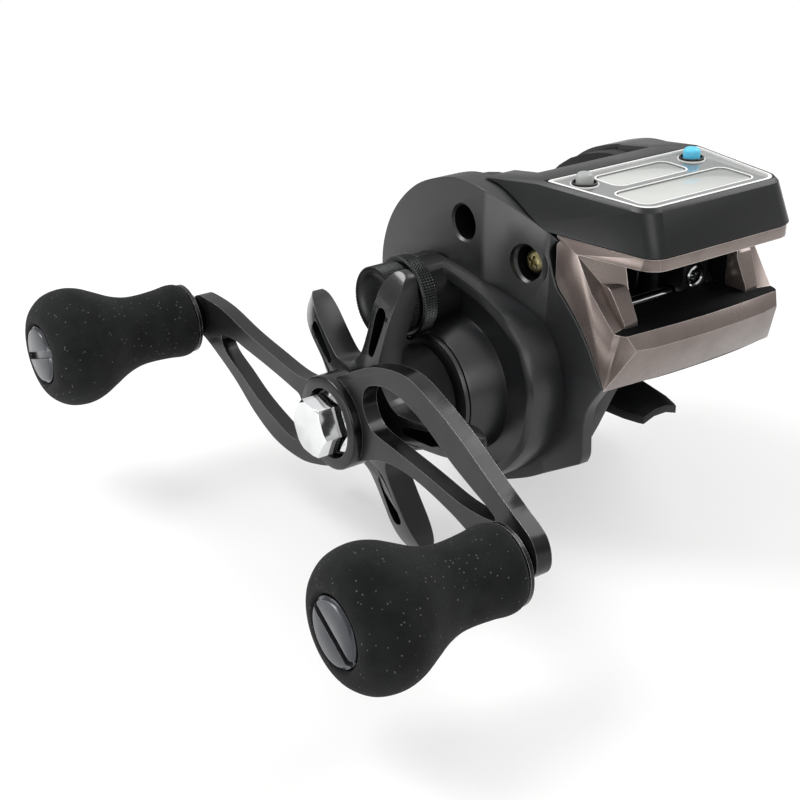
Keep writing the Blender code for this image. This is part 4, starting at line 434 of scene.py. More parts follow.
def blend_colour(tree, factor, first, second):
    mix = add_node(tree, "Mix", {"data_type": "RGBA"}, {0: factor, 6: first, 7: second})
    return mix.outputs[2]


def scaled(tree, value, low, high, to_low, to_high):
    return add_node(tree, "MapRange", {}, {"Value": value, "From Min": low, "From Max": high,
                                           "To Min": to_low, "To Max": to_high}).outputs["Result"]


def worked_out(tree, operation, first, second):
    return add_node(tree, "Math", {"operation": operation}, {0: first, 1: second}).outputs[0]


def noise(tree, place, size, detail, **inputs):
    """Noise with features of about a size in millimetres."""
    return add_node(tree, "TexNoise", {}, {"Vector": place, "Scale": 1 / (size * MM), "Detail": detail,
                                           **inputs}).outputs["Fac"]


def surface(name, tone, shade, roughness, metallic, grain, bump, spread=0.06, edge_wear_and_highlight=None, edge_width=0.22,
            **sockets):
    """A finish with cloudy tone, fine grain in gloss and height, and edges tinted another colour,
    as rubbed wear on some finishes and as a painted highlight on others. grain, the size of its
    features, and the width of the tinted edge are in millimetres."""
    cloud_size = 7.0
    look, tree, shader = blank(name, roughness, metallic, **sockets)
    place = add_node(tree, "TexCoord").outputs["Object"]
    cloud = noise(tree, place, cloud_size, 4.0)
    fine = noise(tree, place, grain, 2.0)
    colour = blend_colour(tree, scaled(tree, cloud, 0.35, 0.65, 0.0, 1.0), linear(tone), linear(shade))
    # the edge colour: rubbed wear on some finishes, a painted highlight on others
    if edge_wear_and_highlight:
        edge = add_node(tree, "Bevel", {"samples": 4}, {"Radius": edge_width * MM}).outputs["Normal"]
        flat = add_node(tree, "NewGeometry").outputs["Normal"]
        likeness = add_node(tree, "VectorMath", {"operation": "DOT_PRODUCT"},
                            {0: edge, 1: flat}).outputs["Value"]
        colour = blend_colour(tree, scaled(tree, likeness, 0.995, 0.9, 0.0, 0.85), colour, linear(edge_wear_and_highlight))
    tree.links.new(colour, shader.inputs["Base Color"])
    gloss = worked_out(tree, "ADD", scaled(tree, fine, 0.3, 0.7, -spread / 2, spread / 2),
                       scaled(tree, cloud, 0.3, 0.7, roughness - spread / 2, roughness + spread / 2))
    tree.links.new(gloss, shader.inputs["Roughness"])
    height = add_node(tree, "Bump", {}, {"Strength": bump, "Distance": 0.1 * MM, "Height": fine})
    tree.links.new(height.outputs["Normal"], shader.inputs["Normal"])
    return look


def foam_look():
    """Cut and sanded foam: open cells give a dull, pitted skin, with pale cell walls as specks."""
    look, tree, shader = blank("EVA foam black sanded", 0.95, Sheen_Weight=0.04, Sheen_Roughness=0.5,
                               Specular_IOR_Level=0.1)
    place = add_node(tree, "TexCoord").outputs["Object"]
    cells = add_node(tree, "TexVoronoi", {}, {"Vector": place, "Scale": 1 / (0.5 * MM),
                                              "Randomness": 1.0})
    pits = noise(tree, place, 0.42, 5.0, Roughness=0.7)
    cloud = noise(tree, place, 4.0, 3.0)
    ground = blend_colour(tree, scaled(tree, cloud, 0.35, 0.65, 0.0, 1.0),
                          linear("#151616"), linear("#1d1e1e"))
    # about one cell in ten has a pale wall
    rare = add_node(tree, "SeparateColor", {}, {"Color": cells.outputs["Color"]}).outputs[0]
    chosen = scaled(tree, rare, 0.9, 0.93, 0.0, 1.0)
    near = scaled(tree, cells.outputs["Distance"], 0.3, 0.14, 0.0, 0.55)
    speck = worked_out(tree, "MULTIPLY", chosen, near)
    dust = scaled(tree, pits, 0.62, 0.78, 0.0, 0.5)
    dusty = blend_colour(tree, dust, ground, linear("#303333"))
    tree.links.new(blend_colour(tree, speck, dusty, linear("#84867f")), shader.inputs["Base Color"])
    height = add_node(tree, "Bump", {}, {"Strength": 0.7, "Distance": 0.2 * MM, "Height": pits})
    tree.links.new(height.outputs["Normal"], shader.inputs["Normal"])
    return look


# after the two colours: roughness, metallic, grain and bump
LOOKS = {
    # die-cast aluminium under matt black paint: dull, with a fine spray texture
    "frame": surface("painted aluminium matt black", "#1b1c1e", "#151617", 0.5, 0.0, 0.3, 0.12,
                     edge_wear_and_highlight="#303233", Specular_IOR_Level=0.3),
    # glass-filled nylon with a soft spray finish, near black, with broad soft highlights, and a faint
    # painted highlight along its edges
    "cover": surface("spray finished nylon graphite", "#151618", "#101112", 0.33, 0.0, 0.22, 0.1,
                     edge_wear_and_highlight="#303132", edge_width=0.15, Specular_IOR_Level=0.62),
    # metal-flake lacquer over ABS: rose grey, with a near-white painted highlight along its edges
    "nose": surface("metal flake lacquer rose grey", "#81756f", "#726661", 0.3, 0.65, 0.12, 0.04,
                    spread=0.06, edge_wear_and_highlight="#efe6e2", edge_width=0.2, Coat_Weight=0.3, Coat_Roughness=0.2),
    # the bare plastic inside the window, where the lacquer was masked off: dull and dark; under the
    # window's ceiling the same black is painted shade
    "inside": surface("bare ABS black inside and painted shade", "#0b0b0c", "#080809", 0.7, 0.0, 0.3, 0.05,
                      Specular_IOR_Level=0.1),
    # moulded ABS with a satin skin
    "housing": surface("moulded ABS satin black", "#191a1b", "#141516", 0.36, 0.0, 0.3, 0.07,
                       edge_wear_and_highlight="#2e3031", Specular_IOR_Level=0.35),
    # acrylic sheet printed grey from behind: flat, and it mirrors what stands on it
    "panel": surface("printed acrylic grey", "#787a7a", "#737575", 0.1, 0.0, 1.0, 0.005, spread=0.02,
                     Coat_Weight=1.0, Coat_Roughness=0.03, Coat_IOR=1.9),
    # screen-printed ink, a plain bright white
    "white_line": surface("printed white line", "#f2f2f0", "#e6e6e4", 0.3, 0.0, 0.5, 0.02),
    # display glass at rest, a flat pale grey
    "lcd": surface("display glass pale grey", "#c9cbc7", "#c4c6c2", 0.15, 0.0, 1.0, 0.004, spread=0.02,
                   Coat_Weight=0.3, Coat_Roughness=0.04),
    # silicone rubber keys, slightly dusty
    "grey_rubber": surface("silicone rubber grey", "#a3a6a5", "#989b9a", 0.45, 0.0, 0.2, 0.08,
                           Subsurface_Weight=0.05),
    "blue_rubber": surface("silicone rubber sky blue", "#5ccdf0", "#44b8e6", 0.38, 0.0, 0.2, 0.06,
                           Subsurface_Weight=0.05),
    # acetal, moulded black, with a faint sheen
    "polymer": surface("moulded acetal black", "#111213", "#0c0d0e", 0.4, 0.0, 0.3, 0.06,
                       edge_wear_and_highlight="#202223", Specular_IOR_Level=0.35),
    # circuit board under green lacquer
    "board": surface("fibreglass board green lacquer", "#14502c", "#0f4023", 0.35, 0.0, 0.4, 0.1),
    # stainless steel, turned: bright, with a soft grain
    "steel": surface("stainless steel turned", "#b2b3b4", "#a0a1a2", 0.25, 1.0, 0.15, 0.06, spread=0.1),
    # the same steel smoked dark
    "collar": surface("stainless steel smoked", "#5c5d5e", "#4c4d4e", 0.22, 1.0, 0.15, 0.05,
                      spread=0.08),
    # brass, machined, dulled in the deep wells
    "brass": surface("brass machined", "#a39a76", "#8f8660", 0.32, 1.0, 0.15, 0.08, edge_wear_and_highlight="#d8d0ac"),
    # chrome plate on brass: mirror with faint waviness
    "chrome": surface("chrome plate polished", "#eeeff0", "#e4e5e6", 0.08, 1.0, 1.5, 0.03, spread=0.03),
    # anodised aluminium, turned: black and glossy, with paler rims
    "spool": surface("anodised aluminium black spool", "#1c1c1e", "#161618", 0.28, 0.8, 0.12, 0.05,
                     edge_wear_and_highlight="#5f6062"),
    # anodised aluminium, milled: satin gunmetal face, glossy dark flanks, bright chamfers
    "arm_face": surface("anodised aluminium gunmetal satin", "#2d2b2c", "#242223", 0.34, 0.5, 0.1, 0.06,
                        spread=0.06, edge_wear_and_highlight="#8f8e8e", edge_width=0.1),
    "arm_side": surface("anodised aluminium black polished", "#100f0f", "#0a090a", 0.2, 0.3, 0.2, 0.03,
                        edge_wear_and_highlight="#b9b8b6", edge_width=0.1),
    # die-cast zinc under gloss black enamel, with duller flanks
    "star": surface("gloss enamel black", "#121314", "#0d0e0f", 0.24, 0.0, 0.5, 0.03, edge_wear_and_highlight="#3c3f40",
                    edge_width=0.2, Coat_Weight=0.35, Coat_Roughness=0.1),
    "star_side": surface("satin enamel olive black", "#1b1c1b", "#151615", 0.34, 0.0, 0.3, 0.05,
                         edge_wear_and_highlight="#323433", Specular_IOR_Level=0.4),
    # aluminium, knurled and anodised: the crests are rubbed paler
    "knurl": surface("knurled aluminium black", "#161718", "#101112", 0.3, 0.5, 0.2, 0.03,
                     edge_wear_and_highlight="#5b5d5f", edge_width=0.08),
    "foam": foam_look(),
    # polished aluminium, tinted dark
    "cap": surface("polished aluminium dark", "#55565a", "#46474b", 0.2, 0.85, 0.15, 0.03,
                   edge_wear_and_highlight="#8d8e90", edge_width=0.08),
    # nylon as it leaves the mould
    "dial": surface("moulded nylon satin black", "#141516", "#0f1011", 0.36, 0.0, 0.3, 0.1,
                    edge_wear_and_highlight="#2c2e2f", Specular_IOR_Level=0.5),
    # recesses that stay in shadow, painted black
    "recess": surface("shadow black paint", "#050606", "#040405", 0.6, 0.0, 0.4, 0.03,
                      Specular_IOR_Level=0.1),
}


# -------- side covers and brake dial

def face_out(x, face, nose):
    """How far out a cover's outer face lies, at a place along the reel."""
    share = min(max((x - BENDS[0]) / (BENDS[1] - BENDS[0]), 0), 1)
    return face - share * (face - nose)


def taper(piece, side, face, nose):
    """Draws the outer face in towards the nose of the reel, in two flat bends."""
    edit_on(piece)
    for x in BENDS:
        bpy.ops.mesh.select_all(action="SELECT")
        bpy.ops.mesh.bisect(plane_co=(x * MM, 0, 0), plane_no=(1, 0, 0), threshold=0.000001)
    edit_off()
    for v in piece.data.vertices:
        if side * v.co.y / MM > TAPER_FROM:
            v.co.y -= side * (face - face_out(v.co.x / MM, face, nose)) * MM


def build_handle_side_cover():
    """The cover with its teardrop gear case, the round boss, the cap's seat and two screw wells."""
    cover = plate("handle_side_cover_finished", handle_side_outline(), -COVER_IN, -HANDLE_FACE, 1.9, 5)
    taper(cover, -1, HANDLE_FACE, NOSE_OUT)
    case = curve_through([share_point(s) for s in CASE_SHARES], 5, closed=True)
    shell = plate("gear_case", case, -COVER_IN, -27.0, 1.3, 2)
    for v in shell.data.vertices:
        # the case widens by a fiftieth towards its foot
        if abs(v.co.y / MM + COVER_IN) < 0.01:
            v.co.x += (v.co.x - DRIVE[0] * MM) * 0.02
            v.co.z += (v.co.z - DRIVE[1] * MM) * 0.02
    join(cover, shell)
    carve(cover, plate("case_recess", offset_outline(case, -2.1), -30.0, -25.0))
    boss = [(-23.8, 0), (-23.8, 13.6), (-25.0, 13.6), (-25.0, 13.3), (-25.5, 13.1), (-31.6, 11.65),
            (-32.0, 11.45), (-32.0, 11.2), (-32.35, 11.2), (-32.35, 11.4), (-33.0, 11.2),
            (-33.5, 10.85), (-33.8, 10.3), (-33.8, 0)]
    join(cover, turned("drive_boss", boss, DRIVE_AXIS, steps=120))
    join(cover, plate("cap_boss", circle(*SPOOL, 6.4), -24.7, -30.2))
    carve(cover, plate("cap_relief", circle(*SPOOL, 8.3), -30.2, -37.0))
    hollow = plate("hollow", offset_outline(handle_side_outline(2), -1.7), -15.5, -22.6)
    taper(hollow, -1, 22.6, 18.9)
    carve(cover, hollow)
    coarse = curve_through([share_point(s) for s in CASE_SHARES], 2, closed=True)
    carve(cover, plate("case_hollow", offset_outline(coarse, -1.6), -15.5, -23.8))
    wells = [share_point(share) for share in WELL_SHARES]
    for x, z in wells:
        face = face_out(x, HANDLE_FACE, NOSE_OUT)
        join(cover, plate("well", circle(x, z, 4.3, 48), -COVER_IN, -face + 0.85))
        bore = [(-28, 0), (-28, 3.9), (-face - 0.02, 3.65), (-face + 0.45, 3.2), (-18.9, 3.2),
                (-18.9, 0)]
        carve(cover, turned("well_bore", bore, (x, 0, z), steps=48))
        carve(cover, plate("screw_hole", circle(x, z, 1.5, 24), -15.0, -28.0))
    carve(cover, plate("bearing_bore", circle(*DRIVE, 8.4, 64), -15.0, -32.8))
    carve(cover, plate("boss_eye", circle(*DRIVE, 7.4, 64), -15.0, -37.0))
    carve(cover, plate("shaft_hole", circle(*SPOOL, 1.9, 24), -15.0, -37.0))
    soften(cover, 0.18, 2, 40)
    # painted shade: black inside the wells and at the boss's end, where the light does not reach
    two_looks(cover, "cover", "recess", lambda at, facing:
              any(math.dist((at.x, at.z), well) < 3.5 for well in wells)
              or (at.y < -31.9 and math.dist((at.x, at.z), DRIVE) < 11.3))
    settle(cover, "cover", "handle_side_cover")


def build_palm_side_cover():
    """The plain cover on the palm side, with a seat for the brake dial."""
    cover = plate("palm_side_cover_finished", palm_side_outline(), COVER_IN, PALM_FACE, 2.2, 5)
    taper(cover, 1, PALM_FACE, NOSE_OUT)
    hollow = plate("palm_hollow", offset_outline(palm_side_outline(2), -1.7), 15.5, 23.2)
    taper(hollow, 1, 23.2, 19.1)
    carve(cover, hollow)
    carve(cover, plate("dial_seat", circle(*SPOOL, 10.8, 96), 24.4, 30.0))
    carve(cover, plate("dial_stem_hole", circle(*SPOOL, 3.3, 32), 15.0, 30.0))
    soften(cover, 0.25, 2, 40)
    settle(cover, "cover", "palm_side_cover")


def ribbed(radius, rib, ribs):
    """A round outline on the spool's axis with evenly spaced ribs."""
    outline = []
    for i in range(ribs):
        for share, lift in ((0.0, 0), (0.25, 0.5), (0.5, 1), (0.75, 0.5)):
            a = 2 * math.pi * (i + share) / ribs
            r = radius + rib * lift
            outline.append((SPOOL[0] + r * math.cos(a), SPOOL[1] + r * math.sin(a)))
    return outline


def upright_box(x, z, half_x, half_z):
    return [(x - half_x, z - half_z), (x + half_x, z - half_z), (x + half_x, z + half_z),
            (x - half_x, z + half_z)]


def build_brake_dial():
    dial = plate("brake_dial_finished", ribbed(10.0, 0.5, 36), 24.7, 27.3, 0.5, 3)
    join(dial, plate("dial_stem", circle(*SPOOL, 3.0, 32), 22.9, 25.0))
    dish = [(27.8, 0), (27.8, 8.2), (27.2, 7.9), (26.8, 6.5), (26.6, 0)]
    carve(dial, turned("dial_dish", dish, SPOOL_AXIS))
    join(dial, plate("dial_pointer", upright_box(SPOOL[0], SPOOL[1] + 5.5, 0.4, 1.5), 26.3, 27.1))
    settle(dial, "dial", "brake_dial")


# -------- handle, star and knobs

def arm_curve(shares, steps):
    """A smooth closed outline through shares of the handle's throw."""
    return curve_through([share_point(share, HANDLE_THROW) for share in shares], steps, True)


def build_arm():
    """The curved arm, pierced by two windows, with a round hub that is recessed for the nut."""
    face, back = -54.0, -51.0
    arm = plate("handle_arm_finished", arm_curve(ARM_TOP_SHARES + ARM_FOOT_SHARES, 5), back, face)
    for window in (REAR_WINDOW_SHARES, FRONT_WINDOW_SHARES):
        carve(arm, plate("window", arm_curve(window, 4), face - 3, back + 3))
    hub = [(face - 1.8, 0), (face - 1.8, 8.5), (face - 1.65, 8.72), (face - 1.4, 8.8), (back, 8.8),
           (back, 6.0), (back + 1.6, 6.0), (back + 1.6, 0)]
    join(arm, turned("hub", hub, DRIVE_AXIS))
    carve(arm, plate("hub_recess", circle(*DRIVE, 6.6), face - 3, face + 0.8))
    carve(arm, plate("hub_bore", circle(*DRIVE, 3.3, 48), face - 3, back + 6))
    for x, z in KNOB_AXES.values():
        carve(arm, plate("spindle_hole", circle(x, z, 2.3, 32), face - 3, back + 3))
    soften(arm, 0.22, 3, 40)
    # the flanks and the recess are darker than the two flat faces
    two_looks(arm, "arm_face", "arm_side", lambda at, facing:
              abs(facing.y) < 0.93 or (at.y > -53.3 and math.dist((at.x, at.z), DRIVE) < 7.4))
    settle(arm, "arm_face", "handle_arm", smooth=40)


def build_knobs():
    """Each knob: a bulbous foam grip between a steel collar and a slotted cap."""
    start, collar_in = -57.4, -54.3
    end = start - KNOB_LENGTH
    outer = [(start - a * KNOB_LENGTH, r * KNOB_R) for a, r in curve_through(KNOB_SHARES, 4)]
    inner = [(end, 6.3), (end + 0.3, 5.9), (end + 3.7, 5.9), (end + 3.7, 2.3), (start, 2.3)]
    cap_form = [(end - 0.5, 0), (end - 0.5, 4.7), (end - 0.35, 5.1), (end - 0.05, 5.3),
                (end + 0.1, 5.6), (end + 3.4, 5.6), (end + 3.4, 0)]
    collar_form = [(collar_in, 2.3), (collar_in, 4.3), (collar_in - 0.35, 4.6), (start + 1.15, 5.95),
                   (start + 1.15, 6.7), (start + 1.0, 6.95), (start + 0.35, 6.95), (start + 0.15, 6.7),
                   (start + 0.15, 2.3)]
    for name, (x, z) in KNOB_AXES.items():
        centre = (x, 0, z)
        grip = turned(f"{name}_knob_grip_finished", outer + inner, centre, steps=112)
        settle(grip, "foam", f"{name}_knob_grip", smooth=45)
        cap = turned(f"{name}_knob_cap_finished", cap_form, centre)
        slot = plate("slot", upright_box(x, z, 14, 0.7), end - 4, end + 0.4)
        carve(cap, turn_about(slot, -SLOT_TURNS[name], centre))
        soften(cap, 0.1, 2, 40)
        settle(cap, "cap", f"{name}_knob_cap")
        collar = turned(f"{name}_knob_collar_finished", collar_form, centre)
        two_looks(collar, "collar", "arm_side", lambda at, facing: at.y < start + 1.16)
        settle(collar, "collar", f"{name}_knob_collar")


def swung(a, b, turn):
    """A place along and across a paddle, turned to where that paddle points."""
    return a * math.cos(turn) - b * math.sin(turn), a * math.sin(turn) + b * math.cos(turn)


def star_curve():
    """Outline of the five paddles and of the valleys between them."""
    shares = [(0.36, 0.115), (0.44, 0.09), (0.6, 0.086), (0.78, 0.09), (0.88, 0.086), (0.945, 0.068),
              (0.985, 0.036)]
    side = [(a * STAR_R, b * STAR_R) for a, b in shares]
    points = []
    for turn in PADDLE_TURNS:
        points += [swung(a, -b, turn) for a, b in side] + [swung(a, b, turn) for a, b in reversed(side)]
        points.append(swung(9.7, 0, turn + math.pi / 5))
    return [(DRIVE[0] + a, DRIVE[1] + b) for a, b in curve_through(points, 4, True)]


def star_reach(vertex):
    return math.hypot(vertex.co.x / MM - DRIVE[0], vertex.co.z / MM - DRIVE[1])


def build_star():
    """Five slotted paddles, swept inwards and thinned to their tips, on a domed hub."""
    inner, outer = -43.2, -48.3
    star = plate("star_drag_finished", star_curve(), inner, outer)
    edit_on(star)
    for turn in PADDLE_TURNS:
        along = Vector((math.cos(turn), 0, math.sin(turn)))
        for share in (0.76, 0.82, 0.87, 0.91, 0.94, 0.965, 0.982, 0.993):
            bpy.ops.mesh.select_all(action="SELECT")
            bpy.ops.mesh.bisect(plane_co=(Vector(DRIVE_AXIS) + along * STAR_R * share) * MM,
                                plane_no=along, threshold=0.000001)
    edit_off()
    soften(star, 0.7, 4, 50)
    for v in star.data.vertices:
        # over the last three tenths both faces close in, as quarter ellipses
        depth = (v.co.y / MM - inner) / (outer - inner)
        tip = min(max((star_reach(v) / STAR_R - 0.7) / 0.3, 0), 1)
        v.co.y += (1 - math.sqrt(1 - tip * tip)) * (3.4 * depth - 1.4 * (1 - depth)) * MM
    channel = [(0.43, 0), (0.45, -0.028), (0.6, -0.042), (0.7, -0.047), (0.75, -0.035), (0.765, 0),
               (0.75, 0.035), (0.7, 0.047), (0.6, 0.042), (0.45, 0.028)]
    for turn in PADDLE_TURNS:
        places = [swung(a * STAR_R, b * STAR_R, turn) for a, b in curve_through(channel, 3, True)]
        carve(star, plate("channel", [(DRIVE[0] + a, DRIVE[1] + b) for a, b in places],
                          outer + 2.2, outer - 3))
    hub = [(-34.1, 0), (-34.1, 9.6), (-34.7, 9.7), (-41.5, 9.2), (-43.2, 9.6), (-46.0, 9.9),
           (-47.6, 9.3), (-48.4, 7.6), (-48.6, 5.2), (-48.6, 0)]
    join(star, turned("star_hub", hub, DRIVE_AXIS))
    for v in star.data.vertices:
        v.co.y += max(star_reach(v) - STAR_SWEEP_FROM, 0) * STAR_SWEEP * MM
    carve(star, plate("star_bore", circle(*DRIVE, 3.6, 48), -30.0, -52.0))
    soften(star, 0.12, 2, 40)
    for look in ("star", "star_side", "recess"):
        star.data.materials.append(LOOKS[look])
    for part in star.data.polygons:
        at = part.center / MM
        reach = math.dist((at.x, at.z), DRIVE)
        swept = at.y - max(reach - STAR_SWEEP_FROM, 0) * STAR_SWEEP
        if reach < 10.5:
            part.material_index = 1 if at.y > -43 else 0
        elif abs(part.normal.y) < 0.5:
            # painted shade: a flank is black where it lies within a channel, near its paddle's middle
            # line
            angle = math.atan2(at.z - DRIVE[1], at.x - DRIVE[0]) - STAR_TURN
            off = min(abs((angle + math.pi / 5) % (2 * math.pi / 5) - math.pi / 5), 1)
            part.material_index = 2 if off * reach < 1.4 and reach < 0.83 * STAR_R else 1
        # painted shade: the floor of a channel, sunk below the paddle's face, is black too
        elif part.normal.y < -0.5 and swept > outer + 1.5 and reach < 0.83 * STAR_R:
            part.material_index = 2
    # the flat ends round the bore are cut into triangles once, so that every pose has the same ones
    edit_on(star)
    bpy.ops.mesh.quads_convert_to_tris(quad_method="BEAUTY", ngon_method="BEAUTY")
    edit_off()
    settle(star, "star", "star_drag", smooth=38)


def build_nut():
    """The handle's chamfered nut with its flange, and the retainer round it."""
    seat, end = -53.9, -59.7
    nut = plate("handle_nut_finished", circle(*DRIVE, 5.5, 6, TILT), seat - 0.5, end)
    cone = [(seat + 1, 0), (seat + 1, 6.0), (-59.0, 6.0), (end, 4.95), (end, 0)]
    carve(nut, turned("nut_chamfer", cone, DRIVE_AXIS), "INTERSECT")
    flange = [(seat, 0), (seat, 6.2), (seat - 0.5, 6.2), (seat - 0.8, 5.9), (seat - 1.1, 4.8),
              (seat - 1.1, 0)]
    join(nut, turned("nut_flange", flange, DRIVE_AXIS))
    carve(nut, plate("nut_bore", circle(*DRIVE, 3.3, 48), -58.5, seat + 3))
    soften(nut, 0.2, 3, 25)
    settle(nut, "chrome", "handle_nut")
    ring = [(seat, 3.3), (seat + 0.6, 3.3), (seat + 0.6, 6.5), (seat + 0.2, 6.5), (seat, 6.3)]
    settle(turned("nut_retainer_finished", ring, DRIVE_AXIS), "polymer", "nut_retainer")


def build_cast_cap():
    """The cap over the spool's end: fine ribs on its crown and a diamond knurl round its skirt."""
    cap = plate("cast_control_cap_finished", ribbed(6.7, 0.17, 72), -34.35, -39.3)
    profile = [(-34.8, 0), (-30.5, 0), (-30.5, 7.35), (-30.8, 7.5)]
    profile += [(-31.0 - 0.32 * i, 7.5) for i in range(9)] + [(-33.8, 7.3), (-33.9, 6.3), (-34.8, 6.3)]
    ring = turned("knurled_ring", profile, SPOOL_AXIS, steps=180)
    knurls, pitch, height = 45, 0.64, 0.03
    for v in ring.data.vertices:
        dx, dz = v.co.x / MM - SPOOL[0], v.co.z / MM - SPOOL[1]
        if math.hypot(dx, dz) > 7.4:
            a, y = math.atan2(dz, dx) * knurls, v.co.y / MM * math.pi / pitch
            share = 1 + height * math.cos(a + y) * math.cos(a - y)
            v.co.x, v.co.z = (SPOOL[0] + dx * share) * MM, (SPOOL[1] + dz * share) * MM
    join(cap, ring)
    dish = [(-41, 0), (-41, 6.1), (-39.3, 6.0), (-38.9, 5.3), (-38.5, 4.4), (-38.3, 0)]
    carve(cap, turned("cap_dish", dish, SPOOL_AXIS))
    carve(cap, plate("cap_bore", circle(*SPOOL, 1.9, 32), -29.0, -36.9))
    settle(cap, "knurl", "cast_control_cap", smooth=50)


# -------- display, buttons and screws

def rounded_box(cx, cy, half_x, half_y, radius, steps=8):
    loop = []
    for sx, sy, first in ((1, 1, 0), (-1, 1, 1), (-1, -1, 2), (1, -1, 3)):
        for i in range(steps + 1):
            a = math.pi / 2 * (first + i / steps)
            loop.append((cx + sx * (half_x - radius) + radius * math.cos(a),
                         cy + sy * (half_y - radius) + radius * math.sin(a)))
    return loop


def display_outline(inset):
    """The display's plan outline, drawn in: two wide front corners and two tight rear ones."""
    lean = (19.4 - 16.8) / (37.5 - 13.1)
    side = inset * math.sqrt(1 + lean * lean)
    front, front_out = 37.5 - inset, 16.8 - side + lean * inset
    rear, rear_out = 13.1 + inset, 19.4 - side - lean * inset
    radius, rear_radius, steps = 3.6 - inset / 2, 0.8, 10
    half = [(rear, rear_out - rear_radius), (rear + rear_radius * 0.3, rear_out - rear_radius * 0.3),
            (rear + rear_radius, rear_out)]
    half += [(front - radius * (1 - math.sin(math.pi / 2 * i / steps)),
              front_out - radius * (1 - math.cos(math.pi / 2 * i / steps))) for i in range(steps + 1)]
    return [(DRIVE[0] + x, y) for x, y in half] + [(DRIVE[0] + x, -y) for x, y in reversed(half)]


def build_button(name, x, y, look, top, recess):
    """A domed key in a dark bezel, with a bright ring let into the panel round it."""
    bezel = [(recess + 0.3, 1.95), (recess + 0.3, 2.3), (top - 0.1, 2.3), (top + 0.15, 2.22),
             (top + 0.25, 2.1), (top + 0.2, 1.97), (top - 0.3, 1.95)]
    settle(turned(f"{name}_ring_finished", bezel, (x, y, 0), "Z", 64), "polymer", f"{name}_ring")
    edge = 0.75
    dome = [(recess - 1.4, 0), (recess - 1.4, 1.55)]
    dome += [(top + 1.85 - edge * (1 - math.sin(a)), 1.55 - edge * (1 - math.cos(a)))
             for a in [math.pi / 2 * i / 6 for i in range(7)]] + [(top + 1.9, 0)]
    settle(turned(f"{name}_finished", dome, (x, y, 0), "Z", 64), look, name)
    ring = [(top - 0.35, 2.33), (top - 0.15, 2.33), (top - 0.15, 2.56), (top - 0.35, 2.56)]
    bright = turned(f"{name}_bright_ring", ring, (x, y, 0), "Z", 64)
    settle(bright, "white_line", body="frame")


def build_display():
    """The panel inside its white rim, with two outlined display glasses and two buttons."""
    top, recess = 45.1, 43.6
    rim = slab("display_rim_finished", display_outline(1.0), recess + 0.3, top, 0.12, 2)
    carve(rim, slab("rim_inside", display_outline(1.6), recess - 3, top + 3))
    settle(rim, "white_line", "display_rim")
    seam = slab("rim_seam", display_outline(0.72), recess + 0.5, top - 0.03)
    carve(seam, slab("seam_inside", display_outline(0.98), recess - 3, top + 3))
    settle(seam, "recess", body="frame")
    panel = slab("display_panel_finished", display_outline(1.65), recess + 0.3, top - 0.3, 0.1, 2)
    for name, (x, y, half_x, half_y) in LCDS.items():
        def around(room, radius):
            return rounded_box(x, y, half_x + room, half_y + room, radius)
        carve(panel, slab("lcd_hole", around(0.1, 1.8), recess - 3, top + 3))
        glass = slab(f"{name}_finished", around(0, 1.7), recess + 0.3, top - 0.5, 0.1, 2)
        settle(glass, "lcd", name)
        line = slab(f"{name}_outline", around(0.45, 2.1), top - 0.42, top - 0.26)
        carve(line, slab("line_inside", around(0.12, 1.8), top - 3, top + 3))
        settle(line, "white_line", body="frame")
    for name, (x, y, look) in BUTTONS.items():
        carve(panel, slab("button_hole", circle(x, y, 2.6, 64), recess - 3, top + 3))
        build_button(name, x, y, look, top, recess)
    settle(panel, "panel", "display_panel")


def build_screws():
    """The two brass screws down in the wells, with crossed slots."""
    seat, end = -19.3, -15.8
    head = [(seat - 1.3, 0), (seat - 1.25, 1.2), (seat - 1.05, 1.8), (seat - 0.7, 2.15),
            (seat - 0.4, 2.2), (seat, 2.2), (seat, 1.2), (end, 1.2), (end, 0)]
    for name, share in zip(("cover_screw_top", "cover_screw_front"), WELL_SHARES):
        x, z = share_point(share)
        screw = turned(f"{name}_finished", head, (x, 0, z), steps=48)
        for turn in (0.35, 0.35 + math.pi / 2):
            slot = plate("cross", upright_box(x, z, 1.4, 0.3), seat - 3, seat - 0.6)
            carve(screw, turn_about(slot, turn, (x, 0, z)))
        soften(screw, 0.05, 2, 40)
        settle(screw, "brass", name)


# -------- spool, level wind, frame and nose

def build_spool():
    """A drum between two flanges, from half its section and the mirror image of that."""
    rim = [(-11.4, 1.8), (-11.4, 4.2), (-9.0, 4.2), (-9.0, 8.1), (-12.2, 13.2), (-12.5, 13.6),
           (-12.5, 15.8), (-12.3, 16.0), (-11.5, 16.0), (-11.3, 15.8), (-10.6, 10.2), (-10.3, 9.5),
           (-9.9, 9.4)]
    section = rim + [(-along, radius) for along, radius in reversed(rim)]
    settle(turned("spool_finished", section, SPOOL_AXIS, steps=128), "spool", "spool")


def build_level_wind():
    """The line guide, its bright eye and the rod that it slides on."""
    rod = [(-15.4, 0), (-15.4, 1.1), (-15.2, 1.25), (17.7, 1.25), (17.9, 1.1), (17.9, 0)]
    settle(turned("guide_rod_finished", rod, (24.3, 0, 21.5), steps=48), "chrome", "guide_rod")
    ring = [(-3.2, 1.4), (-3.35, 1.7), (-3.2, 2.0), (3.2, 2.0), (3.35, 1.7), (3.2, 1.4), (2.6, 1.3),
            (-2.6, 1.3)]
    eye = turned("line_guide_ring_finished", ring, (24.3, 8.5, 24.9), "X", 64)
    settle(eye, "chrome", "line_guide_ring", smooth=50)
    dressed("line_guide", "polymer", 0.3, 3)


def build_frame():
    """The frame, its low bridge ending behind the chin: the photo shows nothing under the chin."""
    piece = dressed("frame", "frame", 0.2)
    for v in piece.data.vertices:
        if 28.4 < v.co.x / MM < 29.05 and 6.4 < v.co.z / MM < 8.95 and abs(v.co.y) < 14.2 * MM:
            v.co.x -= 6.0 * MM


